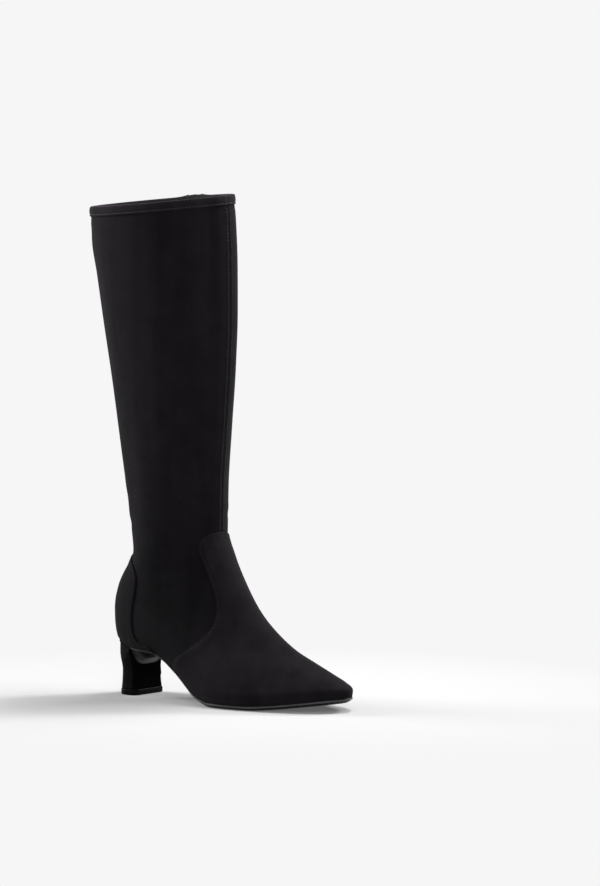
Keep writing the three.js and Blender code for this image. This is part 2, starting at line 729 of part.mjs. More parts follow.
// Pull ring: a flat ring whose upper bar runs through the bail
function make_pull_ring() {
  const ring = round_box(new THREE.Shape(), -ring_width / 2, ring_wire / 2 - ring_length,
    ring_width, ring_length, 1.2);
  ring.holes.push(round_box(new THREE.Path(), ring_wire - ring_width / 2, 1.5 * ring_wire - ring_length,
    ring_width - 2 * ring_wire, ring_length - 2 * ring_wire, 0.6));
  return on_zip(zip_plate(ring, axle_height - ring_wire / 2, axle_height + ring_wire / 2));
}

// Pull tab: a strap folded round the lower bar of the ring
function make_pull_tab() {
  const bar = ring_wire - ring_length;
  const outer = bail_hole + bail_wall;
  const tab = new THREE.Shape();
  const meet = Math.asin(tab_thickness / 2 / outer);
  tab.absarc(bar, axle_height, outer, Math.PI + meet, 3 * Math.PI - meet, false);
  tab.lineTo(bar - tab_length + 0.5, axle_height + tab_thickness / 2);
  tab.lineTo(bar - tab_length, axle_height);
  tab.lineTo(bar - tab_length + 0.5, axle_height - tab_thickness / 2);
  tab.holes.push(new THREE.Path().absarc(bar, axle_height, bail_hole, 0, 2 * Math.PI, false));
  return on_zip(zip_rib(tab, tab_width));
}

// Top stop: a clip on the edge of the tape beside the slider, at the heel side for 1, the toe side for -1
function make_top_stop(side) {
  const low = slider_drop - stop_height - 2;
  const left = side * stop_reach - stop_width / 2;
  const clip = round_box(new THREE.Shape(), left, low, stop_width, stop_height, 0.4);
  return on_zip(zip_plate(clip, gap, gap + hem_thickness));
}

const suede = finish(0x1b1a1b, 0.92, 0);
const overlay_suede = finish(0x1d1c1d, 0.92, 0);
const sole_finish = finish(0x2b2b2c, 0.55, 0);
const heel_finish = finish(0x121214, 0.32, 0);
const lift_finish = finish(0x1a1a1b, 0.6, 0);
const lining = finish(0x2a2725, 0.8, 0);
const coil = finish(0x17171a, 0.45, 0);
const metal = finish(0xb9bcc2, 0.3, 1);

add("upper", make_upper(), suede);
add("vamp", make_vamp(), overlay_suede);
add("counter", make_counter(), overlay_suede);
add("collar_band", make_collar_band(), suede);
add("outsole", make_outsole(), sole_finish);
add("insole", make_insole(), lining);
add("heel_block", make_heel(), heel_finish);
add("top_lift", make_top_lift(), lift_finish);
add("zip_tape", make_zip_tape(), coil);
add("zip_chain", make_zip_chain(), coil);
add("zip_bottom_stop", make_bottom_stop(), metal);
add("zip_stop_front", make_top_stop(-1), metal);
add("zip_stop_back", make_top_stop(1), metal);
add("zip_slider", make_slider(), metal);
add("zip_pull_ring", make_pull_ring(), metal);
add("zip_pull_tab", make_pull_tab(), coil);

// The origin goes to the floor under the middle of the boot
const whole = new THREE.Box3().setFromObject(group);
const middle = whole.getCenter(new THREE.Vector3());
group.position.set(-middle.x, -middle.y, -whole.min.z);

export default group;
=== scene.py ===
import math

import bmesh
import bpy
import numpy as np
from bpy.props import FloatProperty, FloatVectorProperty, PointerProperty
from mathutils import Matrix, Vector


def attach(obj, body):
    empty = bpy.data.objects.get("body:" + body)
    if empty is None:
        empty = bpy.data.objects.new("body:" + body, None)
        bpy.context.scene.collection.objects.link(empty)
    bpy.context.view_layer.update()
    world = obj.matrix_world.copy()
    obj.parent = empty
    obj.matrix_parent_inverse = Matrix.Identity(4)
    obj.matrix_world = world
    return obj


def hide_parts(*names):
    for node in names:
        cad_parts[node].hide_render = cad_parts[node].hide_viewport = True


bl_info = {
    "name": "Knee-high boot looks",
    "version": (1, 0, 0),
    "blender": (4, 5, 0),
    "location": "3D View > Sidebar > Boot",
    "description": "Builds the visible pieces and finishes of a knee-high boot",
    "category": "Object",
}

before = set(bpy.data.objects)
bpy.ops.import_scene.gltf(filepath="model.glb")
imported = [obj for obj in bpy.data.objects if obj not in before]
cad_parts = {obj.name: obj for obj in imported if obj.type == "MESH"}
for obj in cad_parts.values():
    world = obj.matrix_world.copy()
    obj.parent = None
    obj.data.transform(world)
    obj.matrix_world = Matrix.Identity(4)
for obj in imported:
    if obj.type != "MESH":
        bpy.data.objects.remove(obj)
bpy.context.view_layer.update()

MM = 0.001
MIDDLE = np.array((109.540, 1.363, 0.0))

# Main sizes, as in the part
LENGTH = 245.0
HALF_BALL = 43.0
HEEL_HEIGHT = 52.5
INSTEP_HEIGHT = 147.0
TOE_SPRING = 8.0
TOE_SWING = 4.5
ARCH_HEIGHT = 27.0
SHAFT_HEIGHT = 430.0
ANKLE_BACK, ANKLE_FRONT, HALF_ANKLE = 19.5, 111.0, 33.0
COLLAR_BACK, COLLAR_FRONT, HALF_COLLAR = -27.0, 117.0, 44.0
SHIN_BULGE, CALF_BULGE, SIDE_BULGE = 7.0, 4.0, 1.8
COLLAR_PITCH, COLLAR_ROLL, ANKLE_PITCH = 7.5, 8.0, 19.0
SEAT_BACK = 2.0
WALL, OVERLAY, GAP, TRIM = 1.8, 1.1, 0.3, 1.5
SOLE_THICKNESS, SEAT_THICKNESS, SOLE_LIP = 3.8, 1.6, 0.8
LIFT_THICKNESS, LIFT_RIM = 5.2, 0.5
TIP_BACK, TIP_DEPTH, TIP_HALF_WIDTH = 6.9, 23.0, 19.3
TIP_FRONT, TIP_MIDDLE = TIP_BACK + TIP_DEPTH, TIP_BACK + TIP_DEPTH / 2
BREAST_HOLLOW, FLAP_HEIGHT, FLAP_RISE, BREAST_LINE = 0.8, 27.0, 11.0, 60.0
ZIP_END_HEIGHT, ZIP_FORWARD, SLOT_WIDTH, HEM_OPENING = 46.0, 14.0, 5.6, 15.5
SLIDER_DROP, SLIDER_HEIGHT, STOP_HEIGHT = 7.5, 11.0, 3.0
HEM_DEPTH = 8.0
GROUND_LINE = SOLE_THICKNESS + GAP

# Sizes in mm that only the looks have. The quilts are shares of a full stitched swell
VAMP_QUILT, COUNTER_QUILT, EDGE_HEIGHT = 0.5, 0.3, 0.12
SEAM_INSET, ZIP_FOLD_STITCH = 2.4, 4.4
RIM_PEAK, RIM_PEAK_SPREAD = 2.4, 11.0
TAPE_HALF_WIDTH, TAPE_THICKNESS, COIL_PITCH = 11.0, 0.8, 1.3

# At the toe's tip the vamp is tucked in over its lowest part, and the sole is drawn in
TIP_START, VAMP_TUCK, TUCK_HEIGHT, SOLE_TUCK = 0.955 * LENGTH, 1.4, 7.0, 1.9

# Behind this line the sole's edge is covered like the heel
SEAT_LINE = 28.0

# Powers that round the heel behind and square it at the breast, the share of its half width that the
# breast's finish takes, and the share of the flap's rise that the arc of lacquer and painted reflection has
# at its sides
HEEL_ROUND, BREAST_SQUARE, BREAST_SIDE, COVE_SHARE = 2.3, 7, 0.985, 0.75

# The line where the upper meets the sole. Columns: x, seat, arch, spring
FEATHER_ROWS = (
    (0.0, 1, 0, 0), (0.065, 0.87, 0, 0), (0.13, 0.79, 0, 0), (0.22, 0.77, 0, 0), (0.27, 0.7, 0, 0),
    (0.34, 0, 0.86, 0), (0.405, 0, 0.47, 0), (0.475, 0, 0.12, 0), (0.545, 0, 0, 0), (0.69, 0, 0, 0),
    (0.8, 0, 0, 0.26), (0.9, 0, 0, 0.64), (1.0, 0, 0, 1),
)

# Rings of the foot, from the feather line to the ankle
FOOT_COLUMNS = ("toe_run", "toe_rise", "heel_run", "heel_rise", "heel", "ball",
                "heel_round", "toe_point", "waist", "sole_line")
FOOT_ROWS = (
    (0, 0, -0.16, 0, 0.7, 1.03, 3.2, 0.54, 0.16, 1),
    (0, 0.045, -0.27, 0.093, 0.73, 1.04, 3.1, 0.54, 0.12, 0.94),
    (0.04, 0.08, -0.32, 0.2, 0.74, 1.0, 3.0, 0.56, 0.08, 0.86),
    (0.125, 0.125, -0.33, 0.307, 0.74, 0.93, 2.9, 0.6, 0.05, 0.74),
    (0.25, 0.184, -0.28, 0.415, 0.735, 0.84, 2.8, 0.62, 0.03, 0.58),
    (0.393, 0.25, -0.15, 0.511, 0.74, 0.75, 2.7, 0.62, 0, 0.42),
    (0.549, 0.357, 0.04, 0.613, 0.745, 0.68, 2.6, 0.64, 0, 0.28),
    (0.695, 0.487, 0.33, 0.716, 0.75, 0.65, 2.5, 0.61, 0, 0.16),
    (0.828, 0.664, 0.66, 0.813, 0.755, 0.66, 2.3, 0.57, 0, 0.06),
    (0.938, 0.848, 0.915, 0.911, 0.762, 0.71, 2.1, 0.53, 0, 0),
)

# Rings of the shaft, from the ankle to the collar. Columns: rise, shin, calf, side
SHAFT_ROWS = (
    (0, 0, 0, 0), (0.14, 0, -0.27, 0), (0.3, 0.34, -0.25, 0.4), (0.49, 0.76, -0.1, 0.9),
    (0.655, 0.89, 0.4, 1), (0.8, 0.74, 0.7, 0.95), (0.915, 0.46, 1, 0.55), (1, 0, 0, 0),
)

# Edges of the overlays in the side view, as shares of the length and of the instep height
VAMP_EDGE = (
    (0.31, 0.05), (0.35, 0.235), (0.4, 0.3), (0.46, 0.37), (0.495, 0.44), (0.506, 0.52),
    (0.492, 0.62), (0.463, 0.73), (0.436, 0.82), (0.417, 0.9), (0.424, 0.955), (0.452, 0.99), (0.5, 1.005),
)
COUNTER_EDGE = (
    (0.04, 0.868), (0.09, 0.83), (0.135, 0.775), (0.157, 0.71), (0.152, 0.62), (0.137, 0.53),
    (0.132, 0.45), (0.142, 0.37), (0.17, 0.325), (0.225, 0.3), (0.25, 0.24), (0.25, 0.1),
)

# Soft creases. Columns: turn round the boot, height in mm, half width and half height in mm, depth in mm,
# and how far the crease slants up, in mm of height for each mm round
CREASES = (
    (0.78, 112, 16, 3.2, 0.7, 0.25), (0.74, 98, 13, 2.6, 0.55, -0.2), (0.24, 110, 15, 3.0, 0.6, 0.2),
    (0.63, 160, 14, 3.6, 0.5, 0.3), (0.38, 158, 14, 3.4, 0.5, 0.25), (0.93, 150, 12, 4.0, 0.55, -0.15),
    (0.07, 152, 12, 4.0, 0.5, -0.15), (0.7, 186, 20, 6.0, 0.4, 0.35), (0.86, 178, 18, 5.0, 0.4, -0.3),
    (0.16, 182, 18, 5.0, 0.4, -0.3), (0.6, 66, 12, 3.0, 0.35, 0.5), (0.9, 396, 30, 9.0, 0.35, 0.3),
    (0.76, 62, 6, 2.0, 0.9, -0.3), (0.755, 68, 5, 1.8, 0.7, -0.2),
)
# Slow waves round the shaft. Columns: count, height in mm, phase, and how far they lean
WAVES = ((5, 0.28, 0.4, 1.1), (8, 0.2, 2.1, -0.8), (13, 0.1, 4.0, 0.6))

# The heel from the lift to the seat. Columns: level, share of the way from the tip's half width to the
# seat's, and how far forward the back lies, as a share of the tip's own place
HEEL_ROWS = np.array((
    (0, 0, 0), (0.12, -0.03, 0.12), (0.35, -0.03, 0.2), (0.6, 0.16, 0.06), (0.78, 0.5, 0.05),
    (0.92, 0.95, -0.4), (1.3, 1.3, -1.5),
))

# The hem folded over the collar, in mm. Columns: down from the rim, out from the upper's face, up.
# From the row HEM_FOLD on it lies over the rim and inside
HEM_ROWS = np.array((
    (HEM_DEPTH, 0.0, 0), (HEM_DEPTH, 0.5, 0), (HEM_DEPTH - 0.3, 0.95, 0), (HEM_DEPTH - 0.8, 1.1, 0),
    (HEM_DEPTH - 1.3, 0.95, 0), (HEM_DEPTH - 1.8, 0.75, 0), (HEM_DEPTH - 2.4, 0.95, 0),
    (HEM_DEPTH - 3.4, 1.15, 0), (HEM_DEPTH - 4.6, 1.2, 0), (2.0, 1.15, 0), (0.9, 1.05, 0),
    (0.2, 0.85, 0), (0, 0.55, 0.45), (0, 0.0, 0.75), (0, -0.8, 0.85), (0, -1.5, 0.75), (0, -2.0, 0.35),
    (0.3, -2.2, 0), (1.5, -2.25, 0), (3.5, -2.25, 0), (5.5, -2.2, 0), (5.6, -1.7, 0),
))
HEM_FOLD = 12

# The sole's side from its upper lip down. Columns: back, drawn in, share of the thickness. The slice after
# the table gives the rows of the whole form whose lip is painted lighter, a painted highlight on its rounded
# top
SOLE_SIDE_ROWS = (
    (0.5, 0.3, 0), (0.2, 0.1, 0.015), (0.05, 0, 0.06), (0, 0, 0.12), (0, 0, 0.32), (0.03, 0.04, 0.4),
    (0.08, 0.3, 0.43), (0.1, 0.75, 0.455), (0.1, 0.95, 0.5), (0.15, 1.2, 0.56), (0.2, 2.2, 0.74),
    (0.25, 3.0, 0.88), (0.3, 3.5, 0.95), (0.4, 3.9, 0.985), (0.55, 4.4, 1),
)
PAINTED_LIP_ROWS = slice(3, 9)

# The photograph's camera in metres, degrees and pixels, and the lamps: name, place, size, power
CAMERA_PLACE = (2.0074, -2.4527, 0.395)
CAMERA_HEADING, CAMERA_PITCH = 40 - 1.93, -3.12
FOCAL_PIXELS, PHOTO_PIXELS, SENSOR = 3696, 886, 36
LAMP_TARGET = (0, 0, 0.2)
SOFTBOXES = (
    ("left_softbox", (-2.5, -0.6, 1.2), 1.0, 46), ("right_softbox", (0.9, 2.2, 1.7), 0.7, 46),
    ("top_softbox", (0.2, 0.6, 2.5), 1.0, 40), ("front_softbox", (2.1, -2.0, 1.4), 1.2, 24),
)


def lerp(low, high, share):
    return low + (high - low) * share


def ease(value, low, high):
    """Rises smoothly from 0 at low to 1 at high."""
    share = np.clip((value - low) / (high - low), 0, 1)
    return share * share * (3 - 2 * share)


def hump(value, at, width):
    """A bell curve of height 1 round a value."""
    return np.exp(-(((value - at) / width) ** 2))


def unit(vectors):
    return vectors / np.linalg.norm(vectors, axis=-1, keepdims=True)


def smooth(x, y, at):
    """A curve through the rows of a table that never overshoots them."""
    x, y, at = np.asarray(x, float), np.asarray(y, float), np.asarray(at, float)
    slope = np.diff(y) / np.diff(x)
    tangent = np.empty_like(y)
    tangent[0], tangent[-1] = slope[0], slope[-1]
    product, total = slope[:-1] * slope[1:], slope[:-1] + slope[1:]
    tangent[1:-1] = np.where(product > 0, 2 * product / np.where(total == 0, 1, total), 0)
    at = np.clip(at, x[0], x[-1])
    i = np.clip(np.searchsorted(x, at) - 1, 0, len(x) - 2)
    width = x[i + 1] - x[i]
    s = (at - x[i]) / width
    start = y[i] * (1 + 2 * s) * (1 - s) ** 2 + tangent[i] * width * s * (1 - s) ** 2
    return start + y[i + 1] * s * s * (3 - 2 * s) - tangent[i + 1] * width * s * s * (1 - s)


FEATHER_X = np.array([row[0] * LENGTH for row in FEATHER_ROWS])
FEATHER_Z = np.array([
    GROUND_LINE + seat * (HEEL_HEIGHT - GROUND_LINE) + arch * ARCH_HEIGHT + spring * TOE_SPRING
    for _, seat, arch, spring in FEATHER_ROWS
])


def feather(x):
    return smooth(FEATHER_X, FEATHER_Z, x)


def middle_line(x):
    share = np.asarray(x) / LENGTH
    past_ball = np.maximum(0, share - 0.62) / 0.38
    return TOE_SWING * past_ball ** 2 - 0.3 * TOE_SWING * hump(share, 0.66, 0.16)


def upper_rows():
    """All rings of the upper in millimetres, one dict for each ring."""
    rows = []
    for values in FOOT_ROWS:
        row = dict(zip(FOOT_COLUMNS, values))
        rows.append({
            "front_x": lerp(LENGTH, ANKLE_FRONT, row["toe_run"]),
            "front_z": lerp(float(feather(LENGTH)), INSTEP_HEIGHT, row["toe_rise"]),
            "back_x": lerp(SEAT_BACK, ANKLE_BACK, row["heel_run"]),
            "back_z": lerp(float(feather(0)), INSTEP_HEIGHT - ANKLE_PITCH, row["heel_rise"]),
            "heel": row["heel"] * HALF_BALL, "ball": row["ball"] * HALF_BALL,
            "heel_round": row["heel_round"], "toe_point": row["toe_point"], "waist": row["waist"],
            "sole_line": row["sole_line"], "roll": 0, "swing": 1 - row["toe_rise"],
        })
    for rise, shin, calf, side in SHAFT_ROWS:
        half = lerp(HALF_ANKLE, HALF_COLLAR, rise) + SIDE_BULGE * side
        pitch = lerp(ANKLE_PITCH, COLLAR_PITCH, rise) / 2
        middle = lerp(INSTEP_HEIGHT - ANKLE_PITCH / 2, SHAFT_HEIGHT, rise)
        rows.append({
            "front_x": lerp(ANKLE_FRONT, COLLAR_FRONT, rise) + SHIN_BULGE * shin, "front_z": middle + pitch,
            "back_x": lerp(ANKLE_BACK, COLLAR_BACK, rise) - CALF_BULGE * calf, "back_z": middle - pitch,
            "heel": half, "ball": half, "heel_round": 2, "toe_point": 0.5, "waist": 0, "sole_line": 0,
            "roll": COLLAR_ROLL / 2 * rise, "swing": 0,
        })
    return rows


ROWS = upper_rows()
LAST_RING = len(ROWS) - 1
ANKLE_RING = len(FOOT_ROWS)
RING_GRID = np.linspace(0, LAST_RING, 200 * LAST_RING + 1)
COLUMNS = {key: smooth(range(len(ROWS)), [row[key] for row in ROWS], RING_GRID) for key in ROWS[0]}
COLLAR_RING_HEIGHT = (SHAFT_HEIGHT - INSTEP_HEIGHT) * (SHAFT_ROWS[-1][0] - SHAFT_ROWS[-2][0])


def column(name, ring):
    return np.interp(ring, RING_GRID, COLUMNS[name])


def face_point(turn, ring):
    """A place on the upper's outer face. turn goes once round from the back over the inner side."""
    turn, ring = np.broadcast_arrays(np.asarray(turn, float), np.asarray(ring, float))
    angle = turn * 2 * np.pi
    share = (1 - np.cos(angle)) / 2
    x = lerp(column("back_x", ring), column("front_x", ring), share)
    reach = np.abs(1 - 2 * share)
    behind = share < 0.5
    roundness = np.where(behind, column("heel_round", ring), 2)
    point = np.where(behind, 0.5, column("toe_point", ring))
    narrow = 1 - column("waist", ring) * hump(share, 0.36, 0.13)
    width = lerp(column("heel", ring), column("ball", ring), ease(share, 0.1, 0.62)) * narrow
    y = np.sign(np.sin(angle)) * width * np.maximum(0, 1 - reach ** roundness) ** point
    chord = lerp(feather(0), feather(LENGTH), share)
    sag = (feather(share * LENGTH) - chord) * column("sole_line", ring)
    z = lerp(column("back_z", ring), column("front_z", ring), share) + sag
    z = z + column("roll", ring) * np.sin(angle) - TRIM * np.maximum(0, 1 - 2 * ring)
    return np.stack([x, y + middle_line(x) * column("swing", ring), z], axis=-1)


def face_normal(turn, ring):
    """Points out from the upper's face."""
    ring = np.asarray(ring, float)
    step = 0.0125
    along = face_point(turn + step, ring) - face_point(np.asarray(turn) - step, ring)
    up = face_point(turn, np.minimum(LAST_RING, ring + 0.2)) - face_point(turn, np.maximum(0, ring - 0.2))
    return unit(np.cross(up, along))


def speed(turn, ring):
    """Millimetres for one whole turn at a place, so that a distance can be given as a turn."""
    step = 0.002
    moved = face_point(turn + step, ring) - face_point(np.asarray(turn) - step, ring)
    return np.linalg.norm(moved, axis=-1) / (2 * step)


def locate(x, z):
    """The turn and ring of a place in the side view, on the inner side of the boot."""
    x, z = np.asarray(x, float), np.asarray(z, float)
    low, high = np.zeros_like(x), np.full_like(x, LAST_RING)
    for _ in range(40):
        ring = (low + high) / 2
        back = column("back_x", ring)
        share = np.clip((x - back) / (column("front_x", ring) - back), 0, 1)
        turn = np.arccos(1 - 2 * share) / (2 * np.pi)
        under = face_point(turn, ring)[..., 2] < z
        low, high = np.where(under, ring, low), np.where(under, high, ring)
    return turn, ring


def spline(points, count):
    """Places evenly spread in number along a smooth curve through the points."""
    points = np.asarray(points, float)
    padded = np.vstack([2 * points[0] - points[1], points, 2 * points[-1] - points[-2]])
    at = np.linspace(0, len(points) - 1, count)
    i = np.minimum(at.astype(int), len(points) - 2)
    t = (at - i)[:, None]
    a, b, c, d = (padded[i + k] for k in range(4))
    bend, twist = 2 * a - 5 * b + 4 * c - d, 3 * b - a - 3 * c + d
    return 0.5 * (2 * b + (c - a) * t + bend * t ** 2 + twist * t ** 3)


def along_path(places, spacing):
    """Shares of the index range that lie evenly along a path of places."""
    steps = np.linalg.norm(np.diff(places, axis=0), axis=1)
    run = np.concatenate([[0], np.cumsum(steps)])
    count = max(2, int(round(run[-1] / spacing)) + 1)
    return np.interp(np.linspace(0, run[-1], count), run, np.arange(len(places)))


def sampled(rows, at):
    """Rows of an array at indices that may lie between two of them."""
    return np.stack([np.interp(at, np.arange(len(rows)), values) for values in rows.T], axis=1)


# The zip's line in the side view, from its lower end to past the collar
ANKLE_MIDDLE, COLLAR_MIDDLE = (ANKLE_BACK + ANKLE_FRONT) / 2, (COLLAR_BACK + COLLAR_FRONT) / 2
ZIP_SIDE = spline((
    (ANKLE_MIDDLE + 2.1 * ZIP_FORWARD, ZIP_END_HEIGHT),
    (ANKLE_MIDDLE + 1.85 * ZIP_FORWARD, 0.52 * INSTEP_HEIGHT),
    (ANKLE_MIDDLE + 1.6 * ZIP_FORWARD, 0.72 * INSTEP_HEIGHT),
    (ANKLE_MIDDLE + ZIP_FORWARD, 1.03 * INSTEP_HEIGHT),
    (lerp(ANKLE_MIDDLE, COLLAR_MIDDLE, 0.5) + ZIP_FORWARD / 2, (INSTEP_HEIGHT + SHAFT_HEIGHT) / 2),
    (COLLAR_MIDDLE, SHAFT_HEIGHT + 2 * COLLAR_ROLL),
), 400)
ZIP_WAY = unit(np.gradient(ZIP_SIDE, axis=0))
RIM_AT_ZIP = float(face_point(0.25, LAST_RING)[2])


def beside_zip(distance):
    """Turn and ring along the zip, at a distance from its line towards the toe."""
    offset = ZIP_SIDE + distance * np.stack([ZIP_WAY[:, 1], -ZIP_WAY[:, 0]], axis=1)
    turn, ring = locate(offset[:, 0], offset[:, 1])
    keep = ring < LAST_RING - 0.001
    return turn[keep], ring[keep]


ZIP_TURN, ZIP_RING = beside_zip(0)


def zip_turn(ring):
    return np.interp(ring, ZIP_RING, ZIP_TURN)


def by_zip(distance, ring):
    """The turn at a distance in mm from the zip's line."""
    return zip_turn(ring) + distance / speed(zip_turn(ring), ring)


def turns_from(turn, at):
    """How far round the boot a turn lies from another, the short way."""
    return (turn - at + 0.5) % 1 - 0.5


def rim_peak(away, ring):
    """How far the rim rises near the zip."""
    return RIM_PEAK * hump(away, 0, RIM_PEAK_SPREAD) * ease(ring, LAST_RING - 0.9, LAST_RING)


def half_slot(ring):
    """Half the slit as a turn: closed under the zip, wider over the slider."""
    height = face_point(zip_turn(ring), ring)[..., 2]
    opened = ease(height, ZIP_END_HEIGHT - 1.5, ZIP_END_HEIGHT + 0.5)
    spread = 2.2 * ease(height, RIM_AT_ZIP - SLIDER_DROP, RIM_AT_ZIP)
    return opened * (SLOT_WIDTH / 2 + spread) / speed(zip_turn(ring), ring)


def relief(turn, ring, looks):
    """How far the suede stands out from the plain face: seams, folded zip edges, creases and waves."""
    place = face_point(turn, ring)
    pace = speed(turn, ring)
    height = place[..., 2]
    out = np.zeros(place.shape[:-1])
    on_shaft = ease(height, 140, 190) * (1 - ease(height, SHAFT_HEIGHT - 26, SHAFT_HEIGHT - 8))
    for count, size, phase, lean in WAVES:
        out += size * np.sin(2 * np.pi * count * turn + phase + lean * height / 60) * on_shaft
    for at, level, half_width, half_height, depth, slant in CREASES:
        away = turns_from(turn, at) * pace
        rise = height - level - slant * away
        ridge = hump(rise, 1.9 * half_height, 1.2 * half_height)
        out += hump(away, 0, half_width) * depth * (0.6 * ridge - hump(rise, 0, half_height))
    for at, start in ((0.5, INSTEP_HEIGHT - 6), (0.0, 0.85 * INSTEP_HEIGHT)):
        away = np.abs(turns_from(turn, at)) * pace
        line = 0.7 * hump(away, 2.2, 1.5) - hump(away, 0, 0.55)
        out += looks.seam_depth / MM * line * ease(height, start, start + 4)
    beside = np.abs(turns_from(turn, zip_turn(ring))) * pace - SLOT_WIDTH / 2
    folded = 0.55 * (1 - ease(beside, 5.5, 8)) - 0.35 * hump(beside, ZIP_FOLD_STITCH, 0.7)
    out += folded * ease(height, ZIP_END_HEIGHT - 8, ZIP_END_HEIGHT - 3)
    return out - 0.35 * hump((ring - LAST_RING) * COLLAR_RING_HEIGHT, -HEM_DEPTH - 1.5, 2.0)


def suede_point(turn, ring, out, looks):
    """A place at a distance from the upper's face, with its relief and the rim's peak at the zip."""
    place = face_point(turn, ring) + face_normal(turn, ring) * (
        np.asarray(out) + relief(turn, ring, looks))[..., None]
    away = np.abs(turns_from(np.asarray(turn), zip_turn(ring))) * speed(turn, ring)
    place[..., 2] += rim_peak(away, ring)
    return place


def linked(name, data):
    """Puts a mesh, lamp or camera into the scene under a name."""
    thing = bpy.data.objects.new(name, data)
    bpy.context.scene.collection.objects.link(thing)
    return thing


def mesh_of(work):
    """Turns a bmesh into a mesh and frees it."""
    mesh = bpy.data.meshes.new("piece")
    work.to_mesh(mesh)
    work.free()
    return mesh


def new_piece(name, mesh, replaced=(), body="boot", finishes=()):
    """Links a mesh as a piece that rides on a body and takes the finishes given."""
    mesh.name = name
    piece = linked(name, mesh)
    for finish in finishes:
        mesh.materials.append(finish)
    mesh.shade_smooth()
    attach(piece, body)
    if replaced:
        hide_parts(*replaced)
    return piece


def grid_mesh(places, closed=False, marks=None):
    """A grid whose points are moved to an array of places in mm. It is welded where they meet.

    marks gives each of its faces the number of a finish."""
    rows, columns = places.shape[:2]
    work = bmesh.new()
    bmesh.ops.create_grid(work, x_segments=columns - 1, y_segments=rows - 1, size=1)
    corners = np.array([vertex.co for vertex in work.verts])
    u = np.rint((corners[:, 0] + 1) / 2 * (columns - 1)).astype(int)
    v = np.rint((corners[:, 1] + 1) / 2 * (rows - 1)).astype(int)
    if marks is not None:
        for face in work.faces:
            middle = face.calc_center_median()
            step = int((middle.x + 1) / 2 * (columns - 1)), int((middle.y + 1) / 2 * (rows - 1))
            face.material_index = int(marks[step[1], step[0]])
    metres = (places[v, u] - MIDDLE) * MM
    for vertex, place in zip(work.verts, metres):
        vertex.co = place
    bmesh.ops.remove_doubles(work, verts=work.verts, dist=2e-5)
    bmesh.ops.dissolve_degenerate(work, edges=work.edges, dist=1e-6)
    if closed:
        bmesh.ops.recalc_face_normals(work, faces=work.faces)
    else:
        centre = metres.mean(axis=0)
        outward = sum((face.calc_center_median() - Vector(centre)).dot(face.normal) * face.calc_area()
                      for face in work.faces)
        if outward < 0:
            bmesh.ops.reverse_faces(work, faces=work.faces)
    return mesh_of(work)


def thicken(piece, thickness, rounding):
    """Gives a sheet its thickness inwards and rounds the cut edges."""
    solid = piece.modifiers.new("thickness", "SOLIDIFY")
    solid.thickness, solid.offset = thickness * MM, -1
    solid.use_even_offset = False
    bevel = piece.modifiers.new("rounding", "BEVEL")
    bevel.width, bevel.segments, bevel.limit_method = rounding * MM, 2, "ANGLE"
    bevel.angle_limit = math.radians(50)
    bevel.use_clamp_overlap = True


def from_ends(length, near, spacing):
    """Shares from 0 to 1 of a length, close together near both ends."""
    near = np.array(near, float)
    count = max(2, int((length - 2 * near[-1]) / spacing))
    inner = np.linspace(near[-1], length - near[-1], count)
    return np.unique(np.concatenate([near, inner, length - near])) / length


def tooled_rings(low, high, foot_spacing, shaft_spacing):
    """Rings from low to high, close enough for the foot and for the shaft."""
    grid = np.linspace(low, high, 2000)
    pace = np.where(grid < ANKLE_RING, foot_spacing, shaft_spacing)
    height = lerp(column("back_z", grid), column("front_z", grid), 0.4)
    steps = np.concatenate([[0], np.cumsum(np.maximum(np.diff(height), 0.004) / pace[1:])])
    return np.interp(np.linspace(0, steps[-1], int(steps[-1]) + 2), steps, grid)


class Value:
    """A shader socket. Arithmetic on it adds Math nodes."""

    def __init__(self, finish, socket):
        self.finish, self.socket = finish, socket

    def math(self, operation, first, second):
        return self.finish.node("ShaderNodeMath", {"operation": operation}, {0: first, 1: second})

    def __add__(self, other):
        return self.math("ADD", self, other)

    def __radd__(self, other):
        return self.math("ADD", other, self)

    def __sub__(self, other):
        return self.math("SUBTRACT", self, other)

    def __rsub__(self, other):
        return self.math("SUBTRACT", other, self)

    def __mul__(self, other):
        return self.math("MULTIPLY", self, other)

    def __rmul__(self, other):
        return self.math("MULTIPLY", other, self)


